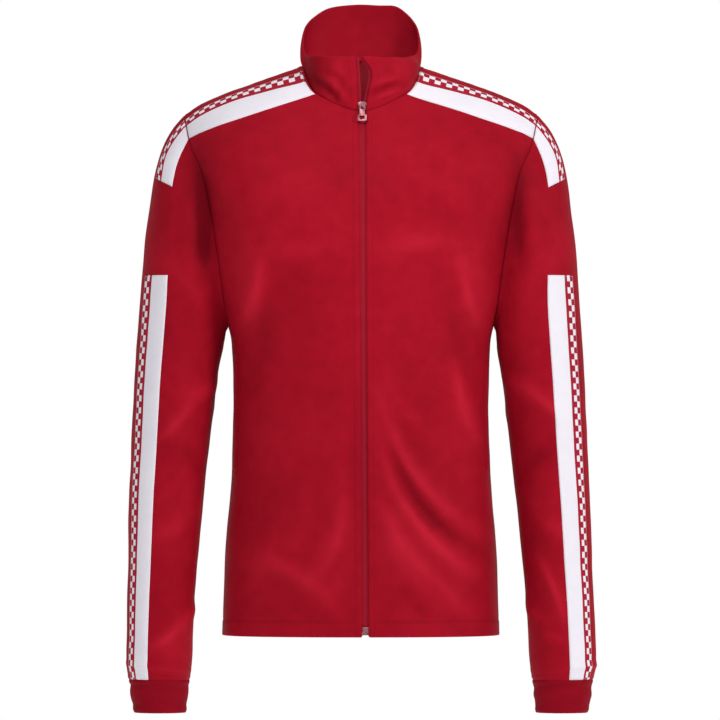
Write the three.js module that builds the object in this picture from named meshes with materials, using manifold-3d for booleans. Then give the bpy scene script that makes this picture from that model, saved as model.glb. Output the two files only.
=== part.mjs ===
import * as THREE from "three";
import Module from "manifold-3d";

// Men's full-zip track jacket, size M, worn shape and empty inside. Millimetres.
// +X is the wearer's left, -Y the front, +Z up. The origin is the middle of the neck opening.

// Walls and gaps
const WALL = { panel: 1.6, cuff: 2.4, collar: 2.4, band: 0.8, tape: 1.0, coil: 1.5, welt: 0.9 };
const SEAM_GAP = 0.4;
const BAND_LIFT = 0.35;

// Cells along each piece
const FRONT_COLUMNS = 9;
const BACK_NECK_COLUMNS = 4;
const HEM_Z = -710;
const ARMPIT = { x: 165.5, z: -326 };
const BODY_STEPS = 13;
const HEM_FOLD = 18;

// Neck, shoulder and zip
const MID_Y = 6;
const NECK_HALF = 72.5;
const NECK_FRONT_Z = -59;
const NECK_BACK_Z = 8;
const TIP_X = 221;
const ZIP = { topX: 1.5, footX: 5.5, halfStrip: 4.9, tapeHidden: 7, coilWidth: 2.6, collarSlack: 0.35 };
const ROUNDNESS = 2.4;

// Torso sections: half width at the side seam, depth of front and back from the side seam
const TORSO = [
  { z: -710, half: 173, front: 101, back: 97 },
  { z: -636, half: 171, front: 101, back: 95 },
  { z: -580, half: 167.5, front: 101, back: 93 },
  { z: -524, half: 163, front: 102, back: 91 },
  { z: -455, half: 160, front: 105, back: 90 },
  { z: -390, half: 160.3, front: 110, back: 93 },
  { z: -345, half: 161.6, front: 115, back: 98 },
  { z: -326, half: 165.5, front: 117, back: 101 },
  { z: -290, half: 176, front: 121, back: 106 },
  { z: -230, half: 190, front: 123, back: 109 },
  { z: -180, half: 203, front: 122, back: 109 },
  { z: -132, half: 215, front: 120, back: 108 },
  { z: -61, half: 232, front: 116, back: 105 },
  { z: 30, half: 242, front: 114, back: 104 },
];

// Height of the shoulder line, and how far below it the front and back reach full depth
const SHOULDER = [
  { x: 0, z: 22, frontReach: 262, backReach: 190 },
  { x: 40, z: 16, frontReach: 232, backReach: 184 },
  { x: 72.5, z: 0, frontReach: 205, backReach: 176 },
  { x: 104, z: -11, frontReach: 180, backReach: 162 },
  { x: 141, z: -24, frontReach: 158, backReach: 148 },
  { x: 174, z: -36, frontReach: 150, backReach: 140 },
  { x: 203, z: -49, frontReach: 150, backReach: 140 },
  { x: 221, z: -61, frontReach: 150, backReach: 140 },
];
const RIDGE_ROUND = { front: 14, back: 25 };

// Armhole seam from the shoulder tip down to the armpit
const ARMHOLE = {
  front: [
    { z: -61, x: 221 }, { z: -105, x: 211 }, { z: -132, x: 199 }, { z: -184, x: 187 },
    { z: -225, x: 180 }, { z: -290, x: 171 }, { z: -326, x: 165.5 },
  ],
  back: [
    { z: -61, x: 221 }, { z: -105, x: 209 }, { z: -140, x: 194 }, { z: -190, x: 185 },
    { z: -240, x: 178 }, { z: -290, x: 170.5 }, { z: -326, x: 165.5 },
  ],
};
const NECK_FRONT = [
  { z: -59, x: 4 }, { z: -57, x: 18 }, { z: -51, x: 33 }, { z: -36, x: 57.5 }, { z: -16, x: 70 },
  { z: 0, x: 72.5 },
];

// Distances down from the shoulder at which the rows of each panel meet the armhole and the neck
const FRONT_ARCS = [6, 12, 18, 24, 33, 43, 78];
const NECK_ARCS = [10, 20, 31, 46, 59, 74];
const ROW_ARCH = [0, 0.5, 2, 4.2, 5.8, 3.6, 0.8, 0];
const FRONT_LOWER_ROWS = 6;
const BACK_ARCS = [12, 26, 45];
const BACK_LOWER_ROWS = 6;

// Sleeve rings: outer and inner point in the front view, half depths and middle in Y
const SLEEVE = [
  { ox: 221, oz: -61, ix: 165.5, iz: -326, front: 60, back: 52, y: 4 },
  { ox: 236, oz: -80, ix: 168.2, iz: -331, front: 62, back: 58, y: 4 },
  { ox: 246.5, oz: -100, ix: 169, iz: -336, front: 63, back: 60, y: 4 },
  { ox: 254, oz: -124, ix: 169.4, iz: -341, front: 63, back: 62, y: 4 },
  { ox: 260, oz: -155, ix: 170, iz: -347, front: 63, back: 63, y: 4 },
  { ox: 265, oz: -195, ix: 170.4, iz: -354, front: 62, back: 63, y: 4 },
  { ox: 269, oz: -238, ix: 171.6, iz: -363, front: 61, back: 62, y: 4 },
  { ox: 272.5, oz: -283, ix: 173.5, iz: -375, front: 59, back: 61, y: 4 },
  { ox: 276, oz: -335, ix: 176.5, iz: -396, front: 57, back: 60, y: 4 },
  { ox: 279.5, oz: -390, ix: 180, iz: -427, front: 55, back: 58, y: 3 },
  { ox: 282, oz: -450, ix: 184.5, iz: -464, front: 53, back: 55, y: 1 },
  { ox: 284.5, oz: -508, ix: 189.5, iz: -510, front: 50, back: 51, y: -2 },
  { ox: 286.5, oz: -562, ix: 195.5, iz: -562, front: 47, back: 47, y: -6 },
  { ox: 288, oz: -614, ix: 200.5, iz: -614, front: 44, back: 44, y: -10 },
  { ox: 290, oz: -664, ix: 205.5, iz: -664, front: 42, back: 41, y: -14 },
  { ox: 291.5, oz: -706, ix: 208.5, iz: -706, front: 40, back: 39, y: -16 },
  { ox: 292.5, oz: -744, ix: 210.5, iz: -744, front: 38.5, back: 38, y: -18 },
  { ox: 290, oz: -766, ix: 213.5, iz: -766, front: 36, back: 36, y: -18 },
];
const CUFF = [
  { ox: 290, oz: -766, ix: 213.5, iz: -766, front: 36, back: 36, y: -18 },
  { ox: 288, oz: -774, ix: 215, iz: -774, front: 34.5, back: 34.5, y: -18 },
  { ox: 287.5, oz: -787, ix: 216, iz: -787, front: 33.5, back: 33.5, y: -18 },
  { ox: 284.5, oz: -799, ix: 218, iz: -799, front: 32, back: 32, y: -18 },
  { ox: 281.5, oz: -806, ix: 220, iz: -806, front: 30.5, back: 30.5, y: -18 },
];
const CAP_FADE_RINGS = 6;
const SWING = { left: 0, right: 4 };

// Collar top edge from the front corner round to the middle of the back
const COLLAR_TOP = [
  { x: 20, y: -66, z: 9 }, { x: 42, y: -57, z: 9 }, { x: 62, y: -38, z: 10 },
  { x: 70.5, y: -12, z: 15 }, { x: 73, y: 7, z: 32 }, { x: 71, y: 22, z: 50 },
  { x: 62, y: 36, z: 65 }, { x: 45, y: 46, z: 76 }, { x: 22, y: 51, z: 82 }, { x: 0, y: 53, z: 85 },
];
// Front edges of the collar, which part above the slider and meet again at the top
const COLLAR_EDGE = [
  { share: 0, left: 0, right: 0, y: 0 },
  { share: 0.22, left: 2.4, right: -1.4, y: -0.4 },
  { share: 0.48, left: 6.2, right: -2.2, y: -1 },
  { share: 0.74, left: 7.6, right: -3.2, y: 0.5 },
  { share: 1, left: -4, right: -4.2, y: 1.5 },
];
const COLLAR_BULGE = 3.5;

// Largest folds: middle line in the front view, half width and height (minus is a hollow)
const FOLDS = [
  { face: -1, x0: 18, z0: -400, x1: 150, z1: -583, bow: -26, width: 13, rise: 4 },
  { face: -1, x0: 16, z0: -450, x1: 140, z1: -632, bow: -24, width: 13, rise: 3.6 },
  { face: -1, x0: 28, z0: -433, x1: 146, z1: -607, bow: -26, width: 10, rise: -2.6 },
  { face: -1, x0: 16, z0: -528, x1: 118, z1: -664, bow: -14, width: 14, rise: 3 },
  { face: -1, x0: 118, z0: -372, x1: 150, z1: -478, bow: -6, width: 12, rise: 3.2 },
  { face: -1, x0: 126, z0: -238, x1: 152, z1: -330, bow: -6, width: 15, rise: 4 },
  { face: -1, x0: 24, z0: -232, x1: 128, z1: -226, bow: 6, width: 16, rise: 2 },
  { face: -1, x0: -24, z0: -524, x1: -60, z1: -640, bow: 12, width: 16, rise: 2.6 },
  { face: -1, x0: -128, z0: -240, x1: -152, z1: -330, bow: 6, width: 15, rise: 4 },
  { face: -1, x0: -30, z0: -676, x1: -140, z1: -612, bow: -10, width: 15, rise: 2.4 },
  { face: -1, x0: -203, z0: -112, x1: -196, z1: -262, bow: 5, width: 14, rise: -6 },
  { face: -1, x0: 203, z0: -120, x1: 196, z1: -250, bow: -5, width: 12, rise: -4 },
  { face: -1, x0: 214, z0: -608, x1: 254, z1: -700, bow: 4, width: 9, rise: 3 },
  { face: -1, x0: -206, z0: -420, x1: -262, z1: -470, bow: 4, width: 11, rise: 3 },
  { face: -1, x0: 200, z0: -404, x1: 258, z1: -452, bow: 4, width: 11, rise: 3 },
  { face: -1, x0: -214, z0: -690, x1: -270, z1: -730, bow: 3, width: 8, rise: 2.4 },
  { face: 1, x0: -120, z0: -200, x1: 96, z1: -232, bow: -18, width: 18, rise: 3 },
  { face: 1, x0: -130, z0: -500, x1: 40, z1: -560, bow: -22, width: 15, rise: 3.4 },
  { face: 1, x0: 140, z0: -470, x1: -20, z1: -610, bow: -20, width: 15, rise: 3.2 },
  { face: 1, x0: -140, z0: -590, x1: 30, z1: -664, bow: -16, width: 14, rise: 2.8 },
  { face: 1, x0: 130, z0: -250, x1: 154, z1: -340, bow: -6, width: 15, rise: 4 },
  { face: 1, x0: -130, z0: -250, x1: -154, z1: -340, bow: 6, width: 15, rise: 4 },
  { face: 1, x0: 202, z0: -120, x1: 196, z1: -260, bow: -5, width: 14, rise: -5 },
  { face: 1, x0: -202, z0: -120, x1: -196, z1: -260, bow: 5, width: 14, rise: -5 },
  { face: 1, x0: 200, z0: -420, x1: 262, z1: -400, bow: 6, width: 11, rise: 3.4 },
  { face: 1, x0: -200, z0: -414, x1: -262, z1: -396, bow: -6, width: 11, rise: 3.4 },
  { face: 1, x0: 208, z0: -560, x1: 266, z1: -526, bow: 5, width: 11, rise: 2.8 },
  { face: 1, x0: -208, z0: -566, x1: -266, z1: -530, bow: -5, width: 11, rise: 2.8 },
];
const FOLD_STEPS = 10;

// Pocket welt on each side front, as shares of one column of the front panel
const POCKET = { firstRow: 8, lastRow: 13, column: 7, from: 0.42, to: 0.74 };

// Bands as column or row blocks, counted in the arcs of the front panel
const SHOULDER_BAND = { from: 2, to: 6 };
const CAP_BAND = { from: 2, to: 6, firstRing: 0, lastRing: 3, lastShares: [0.8, 0.45, 0.05, 0, 0] };
const SLEEVE_BAND = { from: 2, to: 6, firstRing: 6, lastRing: 17, firstShares: [0, 0.05, 0.2, 0.3, 0.4] };
const BAND_END_SHARE = 0.14;
// Turns at which the band's front edge, the rear of its broad part and its rear edge cross the rings
const BAND_TURNS = {
  right: [
    { ring: 0, front: 0.4313, broad: 0.4617, rear: 0.4808 }, { ring: 1, front: 0.408, broad: 0.457, rear: 0.479 },
    { ring: 2, front: 0.382, broad: 0.447, rear: 0.473 }, { ring: 3, front: 0.357, broad: 0.42, rear: 0.463 },
    { ring: 5, front: 0.318, broad: 0.389, rear: 0.441 }, { ring: 7, front: 0.306, broad: 0.378, rear: 0.43 },
    { ring: 17, front: 0.304, broad: 0.377, rear: 0.43 },
  ],
  left: [
    { ring: 0, front: 0.4313, broad: 0.4617, rear: 0.4808 }, { ring: 1, front: 0.404, broad: 0.454, rear: 0.478 },
    { ring: 2, front: 0.376, broad: 0.442, rear: 0.471 }, { ring: 3, front: 0.349, broad: 0.414, rear: 0.459 },
    { ring: 5, front: 0.299, broad: 0.374, rear: 0.429 }, { ring: 7, front: 0.283, broad: 0.36, rear: 0.414 },
    { ring: 17, front: 0.28, broad: 0.358, rear: 0.41 },
  ],
};

// Zip hardware, in its own frame: x across, v up along the zip, w out of the cloth
const SLIDER = {
  z: -52.5, width: 10.5, height: 11.5, plate: 1.3, postX: 0.3, postWidth: 1.5, postHeight: 2.2, postTop: 5,
  bridgeWidth: 2.6, bridgeHalf: 2.8, tunnelHalf: 1.5, tunnelRise: 2.7, bridgeWall: 1.2,
};
const PULL = {
  pivotV: 0.6, tilt: 27, thick: 1.5, barHalf: 0.75, eyeHalf: 1.7, eyeDrop: 5.4,
  stemHalf: 3.2, stemEnd: 13.5, ringHalf: 5.6, length: 22, holeHalf: 3.2, holeTop: 14.4, holeEnd: 19.4,
};
const BOX = { x: 5.6, z: -703.5, width: 7.5, height: 10, thick: 4.6 };

const vec = (x, y, z) => new THREE.Vector3(x, y, z);
const mix = (a, b, share) => a + (b - a) * share;
const mixPoints = (a, b, share) => a.clone().lerp(b, share);
const smooth = (share) => {
  const t = Math.min(Math.max(share, 0), 1);
  return t * t * (3 - 2 * t);
};

// Row of a table at a value of its key column, on a smooth curve through the rows
function at(table, key, value) {
  const up = table[table.length - 1][key] > table[0][key];
  const rows = up ? table : [...table].reverse();
  const last = rows.length - 1;
  const clamped = Math.min(Math.max(value, rows[0][key]), rows[last][key]);
  let i = 0;
  while (i < last - 1 && clamped > rows[i + 1][key]) i += 1;
  const step = rows[i + 1][key] - rows[i][key];
  const t = (clamped - rows[i][key]) / step;
  const out = {};
  for (const name of Object.keys(rows[0])) {
    const slope = (a, b) => (rows[b][name] - rows[a][name]) / (rows[b][key] - rows[a][key]);
    const m0 = slope(Math.max(i - 1, 0), i + 1) * step;
    const m1 = slope(i, Math.min(i + 2, last)) * step;
    const h = t * t * (3 - 2 * t);
    out[name] = mix(rows[i][name], rows[i + 1][name], h)
      + m0 * t * (1 - t) * (1 - t) - m1 * t * t * (1 - t);
  }
  return out;
}

// Points on a path by distance
function distances(path) {
  const out = [0];
  for (let i = 1; i < path.length; i += 1) out.push(out[i - 1] + path[i].distanceTo(path[i - 1]));
  return out;
}

function pointAt(path, runs, distance) {
  let i = 1;
  while (i < path.length - 1 && runs[i] < distance) i += 1;
  const share = (distance - runs[i - 1]) / (runs[i] - runs[i - 1]);
  return mixPoints(path[i - 1], path[i], Math.min(Math.max(share, 0), 1));
}

// Evenly spaced points from one end to the split, and from the split to the other end
function spread(path, splitShare, before, after) {
  const runs = distances(path);
  const total = runs[runs.length - 1];
  const out = [];
  for (let i = 0; i < before; i += 1) out.push(pointAt(path, runs, total * splitShare * i / before));
  for (let i = 0; i <= after; i += 1) {
    out.push(pointAt(path, runs, total * mix(splitShare, 1, i / after)));
  }
  return out;
}

// Outward rise of the folds at a point of the front (-1) or back (+1)
function foldRise(x, z, face) {
  let rise = 0;
  for (const fold of FOLDS) {
    if (fold.face !== face) continue;
    const dx = fold.x1 - fold.x0;
    const dz = fold.z1 - fold.z0;
    const length = Math.hypot(dx, dz);
    let best = Infinity;
    let share = 0;
    for (let i = 0; i <= FOLD_STEPS; i += 1) {
      const t = i / FOLD_STEPS;
      const sag = 4 * fold.bow * t * (1 - t);
      const px = fold.x0 + dx * t - dz / length * sag;
      const pz = fold.z0 + dz * t + dx / length * sag;
      const gap = Math.hypot(x - px, z - pz);
      if (gap < best) {
        best = gap;
        share = t;
      }
    }
    rise += fold.rise * Math.exp(-((best / fold.width) ** 2)) * (0.35 + 0.65 * Math.sin(Math.PI * share));
  }
  return rise;
}

const zipX = (z) => mix(ZIP.topX, ZIP.footX, (NECK_FRONT_Z - z) / (NECK_FRONT_Z - HEM_Z));

// Depth of the torso surface at a place in the front view
function torsoPoint(x, z, face) {
  const section = at(TORSO, "z", z);
  const ridge = at(SHOULDER, "x", Math.abs(x));
  const across = Math.min(Math.abs(x) / section.half, 1);
  const round = (1 - across ** ROUNDNESS) ** (1 / ROUNDNESS);
  const below = Math.max(ridge.z - z, 0);
  const soft = face < 0 ? RIDGE_ROUND.front : RIDGE_ROUND.back;
  const reach = face < 0 ? ridge.frontReach : ridge.backReach;
  const share = Math.min(Math.sqrt(below * below + 2 * soft * below) / reach, 1);
  const full = (face < 0 ? section.front : section.back) * round;
  return vec(x, MID_Y + face * full * (1 - (1 - share) ** ROUNDNESS), z);
}

const onTorso = (point, face) => torsoPoint(point.x, point.z, face);

// Folds fade out toward the zip, the hem edge and the seams
function foldedPoint(point, face, edgeShare) {
  const zipGap = face < 0 ? smooth((Math.abs(point.x - zipX(point.z)) - 6) / 14) : 1;
  const rise = foldRise(point.x, point.z, face) * zipGap * smooth(edgeShare * 4);
  return vec(point.x, point.y + face * rise, point.z);
}

// Row of the torso between two places of the front view, lifted by a share of a top curve
function torsoRow(from, to, face, lift, columns) {
  const path = [];
  for (let i = 0; i <= 90; i += 1) {
    const share = Math.sin(Math.PI / 2 * i / 90);
    const x = mix(from.x, to.x, share);
    const z = mix(from.z, to.z, share) + lift(x, share);
    path.push(torsoPoint(x, Math.min(z, at(SHOULDER, "x", Math.abs(x)).z), face));
  }
  return spread(path, columns.split, columns.before, columns.after);
}

function armholePath(face) {
  const table = face < 0 ? ARMHOLE.front : ARMHOLE.back;
  const path = [];
  for (let i = 0; i <= 120; i += 1) {
    const z = mix(-61, ARMPIT.z, (1 - Math.cos(Math.PI * i / 120)) / 2);
    path.push(torsoPoint(at(table, "z", z).x, z, face));
  }
  return path;
}

// Armhole points from the shoulder tip to the armpit, on the wearer's left
function armholePoints(face) {
  const path = armholePath(face);
  const runs = distances(path);
  const total = runs[runs.length - 1];
  const arcs = face < 0 ? FRONT_ARCS : BACK_ARCS;
  const lower = face < 0 ? FRONT_LOWER_ROWS : BACK_LOWER_ROWS;
  const stops = [0, ...arcs];
  const start = stops[stops.length - 1];
  for (let i = 1; i <= lower; i += 1) stops.push(mix(start, total, i / lower));
  return stops.map((stop) => onTorso(pointAt(path, runs, stop), face));
}

// Neck seam of the front from the shoulder down to the zip edge
function neckFrontPoints(side) {
  const edge = zipX(NECK_FRONT_Z) * side + ZIP.halfStrip;
  const path = [];
  for (let i = 0; i <= 100; i += 1) {
    const share = i / 100;
    const z = mix(0, NECK_FRONT_Z, share * share * (3 - 2 * share));
    const x = Math.max(at(NECK_FRONT, "z", z).x, edge);
    path.push(torsoPoint(side * mix(x, edge, share ** 8), z, -1));
  }
  const runs = distances(path);
  const arcs = [0, ...NECK_ARCS, runs[runs.length - 1]];
  return arcs.map((arc) => onTorso(pointAt(path, runs, arc), -1));
}

const bodyLevels = () => {
  const out = [HEM_Z];
  for (let i = 0; i <= BODY_STEPS; i += 1) out.push(mix(HEM_Z + HEM_FOLD, -345, i / BODY_STEPS));
  return out;
};

// Front panel rows, hem to shoulder; columns run from the zip edge to the side
function frontRows(side) {
  const rows = [];
  const columns = { split: 0, before: 0, after: FRONT_COLUMNS };
  for (const z of bodyLevels()) {
    const from = { x: zipX(z) + side * ZIP.halfStrip, z };
    rows.push(torsoRow(from, { x: side * at(TORSO, "z", z).half, z }, -1, () => 0, columns));
  }
  const armhole = armholePoints(-1);
  const neck = neckFrontPoints(side);
  const zipRows = FRONT_LOWER_ROWS;
  for (let j = armhole.length - 1; j >= 0; j -= 1) {
    const low = j - (neck.length - 1);
    const zipZ = mix(NECK_FRONT_Z, ARMPIT.z, Math.max(low, 0) / zipRows);
    const zipEdge = { x: zipX(zipZ) + side * ZIP.halfStrip, z: zipZ };
    const from = low > 0 ? zipEdge : { x: neck[j].x, z: neck[j].z };
    const to = { x: side * armhole[j].x, z: armhole[j].z };
    const weight = (1 - j / (armhole.length - 1)) ** 2;
    const lift = (x, share) => {
      const chord = mix(0, -61, (Math.abs(x) - NECK_HALF) / (TIP_X - NECK_HALF));
      const bulge = at(SHOULDER, "x", Math.abs(x)).z - chord;
      const ends = Math.abs(x) > NECK_HALF ? 1 : 0;
      const arch = (ROW_ARCH[j] ?? 0) * Math.sin(Math.PI * share ** 1.3);
      return bulge * weight * ends * smooth(share * 6) * smooth((1 - share) * 12) + arch;
    };
    const row = torsoRow(from, to, -1, j === 0 ? shoulderLift : lift, columns);
    row[0] = torsoPoint(from.x, from.z, -1);
    row[row.length - 1] = torsoPoint(to.x, to.z, -1);
    rows.push(row);
  }
  return rows.map((row, r) => row.map((point, c) => {
    const topShare = (rows.length - 1 - r) / (rows.length - 1);
    const edge = Math.min(c / FRONT_COLUMNS, 1 - c / FRONT_COLUMNS) * 2;
    return foldedPoint(point, -1, Math.min(edge, topShare * 2, 1));
  }));
}

// Holds the top row on the shoulder line
function shoulderLift(x) {
  const chord = mix(0, -61, (Math.abs(x) - NECK_HALF) / (TIP_X - NECK_HALF));
  return at(SHOULDER, "x", Math.abs(x)).z - chord;
}

function backTopZ(x) {
  const near = Math.abs(x) / NECK_HALF;
  return near < 1 ? NECK_BACK_Z * (1 - near * near) : at(SHOULDER, "x", Math.abs(x)).z;
}

// Back panel rows, hem to shoulder; columns run from the wearer's left to the right
function backRows() {
  const armhole = armholePoints(1);
  const levels = bodyLevels();
  const half = [];
  const topPath = [];
  for (let i = 0; i <= 120; i += 1) {
    const x = TIP_X * i / 120;
    topPath.push(torsoPoint(x, backTopZ(x), 1));
  }
  const topRuns = distances(topPath);
  const neckRun = topRuns[Math.round(120 * NECK_HALF / TIP_X)];
  const split = neckRun / topRuns[topRuns.length - 1];
  const columns = { split, before: BACK_NECK_COLUMNS, after: FRONT_COLUMNS };
  for (const z of levels) {
    half.push(torsoRow({ x: 0, z }, { x: at(TORSO, "z", z).half, z }, 1, () => 0, columns));
  }
  for (let j = armhole.length - 1; j >= 0; j -= 1) {
    const share = j / (armhole.length - 1);
    const centreZ = mix(NECK_BACK_Z, ARMPIT.z, share);
    const to = { x: armhole[j].x, z: armhole[j].z };
    const lift = (x, along) => {
      const bulge = backTopZ(x) - mix(NECK_BACK_Z, -61, x / TIP_X);
      return bulge * (1 - share) ** 1.5 * smooth((1 - along) * 12);
    };
    const row = torsoRow({ x: 0, z: centreZ }, to, 1, lift, columns);
    row[row.length - 1] = torsoPoint(to.x, to.z, 1);
    half.push(row);
  }
  const top = half[half.length - 1];
  const shoulder = frontRows(1).at(-1);
  for (let i = 0; i <= FRONT_COLUMNS; i += 1) top[BACK_NECK_COLUMNS + i] = shoulder[i].clone();
  for (let i = 0; i < BACK_NECK_COLUMNS; i += 1) {
    const x = NECK_HALF * Math.sin(Math.PI / 2 * i / BACK_NECK_COLUMNS) ** 1.08;
    top[i] = torsoPoint(x, backTopZ(x), 1);
  }
  const count = half.length;
  return half.map((row, r) => {
    const whole = [...row].reverse();
    for (const point of row.slice(1)) whole.push(vec(-point.x, point.y, point.z));
    return whole.map((point, c) => {
      const edge = Math.min(c, whole.length - 1 - c) / 6;
      return foldedPoint(point, 1, Math.min(edge, (count - 1 - r) / 6, 1));
    });
  });
}

// Ring positions round the armhole: armpit, front, shoulder tip, back, as shares of a turn
function ringStops() {
  const stops = [];
  const addHalf = (face, start) => {
    const points = armholePoints(face);
    const runs = distances(points);
    const total = runs[runs.length - 1];
    const order = face < 0 ? [...points].reverse() : points;
    order.slice(0, -1).forEach((point, i) => {
      const run = face < 0 ? total - runs[points.length - 1 - i] : runs[i];
      stops.push({ turn: start + run / total / 2, point });
    });
  };
  addHalf(-1, 0);
  addHalf(1, 0.5);
  return stops;
}

function ringPoint(ring, turn, swing) {
  const angle = 2 * Math.PI * turn;
  const reach = -Math.cos(angle);
  const depth = Math.sin(angle) > 0 ? ring.front : ring.back;
  const x = (ring.ox + ring.ix) / 2 + (ring.ox - ring.ix) / 2 * reach + swing;
  const z = (ring.oz + ring.iz) / 2 + (ring.oz - ring.iz) / 2 * reach;
  return vec(x, ring.y - depth * Math.sin(angle), z);
}

// Turn of a column at a ring: the columns follow the edges of the band down the sleeve
function bandTurn(turn, ring, sideName) {
  const table = BAND_TURNS[sideName];
  const start = table[0];
  const now = at(table, "ring", ring);
  const knots = [
    [0, 0], [start.front, now.front], [start.broad, now.broad], [start.rear, now.rear], [0.5, 0.5], [1, 1],
  ];
  let i = 1;
  while (i < knots.length - 1 && turn > knots[i][0]) i += 1;
  const [low, high] = [knots[i - 1], knots[i]];
  return mix(low[1], high[1], (turn - low[0]) / (high[0] - low[0]));
}

// Rings of a sleeve or cuff; columns run round the ring
function ringRows(table, side, capFade) {
  const stops = ringStops();
  const swingName = side > 0 ? "left" : "right";
  return table.map((ring, k) => {
    const along = (ring.oz - SLEEVE[0].oz) / (SLEEVE[SLEEVE.length - 1].oz - SLEEVE[0].oz);
    const swing = SWING[swingName] * Math.sin(Math.PI * Math.min(Math.max(along, 0), 1));
    const fade = capFade ? 1 - smooth(k / CAP_FADE_RINGS) : 0;
    return stops.map(({ turn: firstTurn, point }) => {
      const turn = bandTurn(firstTurn, capFade ? k : SLEEVE.length - 1, swingName);
      const place = ringPoint(ring, turn, swing);
      const drift = point.clone().sub(ringPoint(SLEEVE[0], firstTurn, 0)).multiplyScalar(fade);
      place.add(drift);
      const face = Math.sin(2 * Math.PI * turn) > 0 ? -1 : 1;
      const facing = Math.abs(Math.sin(2 * Math.PI * turn));
      const ends = capFade ? smooth(k / 2) * smooth((table.length - 1 - k) / 2) : 0;
      const rise = foldRise(side * place.x, place.z, face) * facing * ends;
      return vec(side * place.x, place.y + face * rise, place.z);
    });
  });
}

// Collar rows from the neck seam up; columns run from the wearer's left front round the back
function collarRows(frontLeft, frontRight, back) {
  const neckCount = FRONT_ARCS.length;
  const topRow = back[back.length - 1];
  const frontNeck = (rows) => rows.slice(rows.length - 1 - neckCount).map((row) => row[0]);
  const seam = [...frontNeck(frontLeft)];
  seam.push(...topRow.slice(FRONT_COLUMNS + 1, topRow.length - 1 - FRONT_COLUMNS));
  seam.push(...frontNeck(frontRight).reverse());
  const rim = COLLAR_TOP.map((row) => vec(row.x, row.y, row.z));
  const edgeX = zipX(NECK_FRONT_Z);
  const wholeRim = [vec(edgeX + ZIP.halfStrip, -68, 9), ...rim];
  for (const point of rim.slice(0, -1).reverse()) wholeRim.push(vec(-point.x, point.y, point.z));
  wholeRim.push(vec(edgeX - ZIP.halfStrip, -68, 9));
  const rimPath = new THREE.CatmullRomCurve3(wholeRim).getPoints(240);
  const rimRuns = distances(rimPath);
  const seamRuns = distances(seam);
  const rimTotal = rimRuns[rimRuns.length - 1];
  const seamTotal = seamRuns[seamRuns.length - 1];
  const last = seam.length - 1;
  return COLLAR_EDGE.map((edge) => seam.map((point, i) => {
    const top = pointAt(rimPath, rimRuns, rimTotal * seamRuns[i] / seamTotal);
    const place = mixPoints(point, top, edge.share);
    const out = vec(place.x, place.y, 0).normalize();
    place.addScaledVector(out, COLLAR_BULGE * Math.sin(Math.PI * edge.share) * smooth(Math.min(i, last - i) / 5));
    const nearLeft = smooth(1 - i / 4);
    const nearRight = smooth(1 - (last - i) / 4);
    place.x += edge.left * nearLeft + edge.right * nearRight;
    place.y += edge.y * (nearLeft + nearRight);
    return place;
  }));
}

// Vertex normals of a grid, facing out where columns cross rows is outward
function gridNormals(rows, closed) {
  const normals = rows.map((row) => row.map(() => vec(0, 0, 0)));
  const width = rows[0].length;
  const cells = closed ? width : width - 1;
  for (let r = 0; r < rows.length - 1; r += 1) {
    for (let c = 0; c < cells; c += 1) {
      const d = (c + 1) % width;
      const diagonal = rows[r + 1][d].clone().sub(rows[r][c]);
      const other = rows[r + 1][c].clone().sub(rows[r][d]);
      const normal = diagonal.cross(other);
      for (const [i, j] of [[r, c], [r, d], [r + 1, c], [r + 1, d]]) normals[i][j].add(normal);
    }
  }
  for (const row of normals) for (const normal of row) normal.normalize();
  return normals;
}

const seamKey = (point) => [point.x, point.y, point.z].map((v) => Math.round(v * 20)).join(" ");
const atEdge = (r, c, rows, closed) => r === 0 || r === rows.length - 1
  || (!closed && (c === 0 || c === rows[0].length - 1));

// Directions in which a sheet draws back from the seams at one of its edge points
function drawBack(sheet, r, c, through, onSeam) {
  const { rows, closed } = sheet;
  const width = rows[0].length;
  const height = rows.length;
  const column = (j) => (closed ? (j + width) % width : j);
  const inside = (i, j) => i >= 0 && i < height && (closed || (j >= 0 && j < width));
  const get = (i, j) => rows[i][column(j)];
  const away = vec(0, 0, 0);
  const ends = [];
  if (r === 0 || r === height - 1) {
    ends.push({ along: [[r, c - 1], [r, c + 1]], into: [r === 0 ? 1 : r - 1, c] });
  }
  if (!closed && (c === 0 || c === width - 1)) {
    ends.push({ along: [[r - 1, c], [r + 1, c]], into: [r, c === 0 ? 1 : c - 1] });
  }
  for (const { along, into } of ends) {
    const near = along.filter(([i, j]) => inside(i, j) && onSeam(get(i, j)));
    if (!near.length) continue;
    const tangent = near.length === 2
      ? get(...near[1]).clone().sub(get(...near[0]))
      : get(...near[0]).clone().sub(rows[r][c]);
    tangent.addScaledVector(through, -tangent.dot(through)).normalize();
    const inward = get(...into).clone().sub(rows[r][c]);
    inward.addScaledVector(through, -inward.dot(through));
    inward.addScaledVector(tangent, -inward.dot(tangent)).normalize();
    away.add(inward);
  }
  return away;
}

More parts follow.
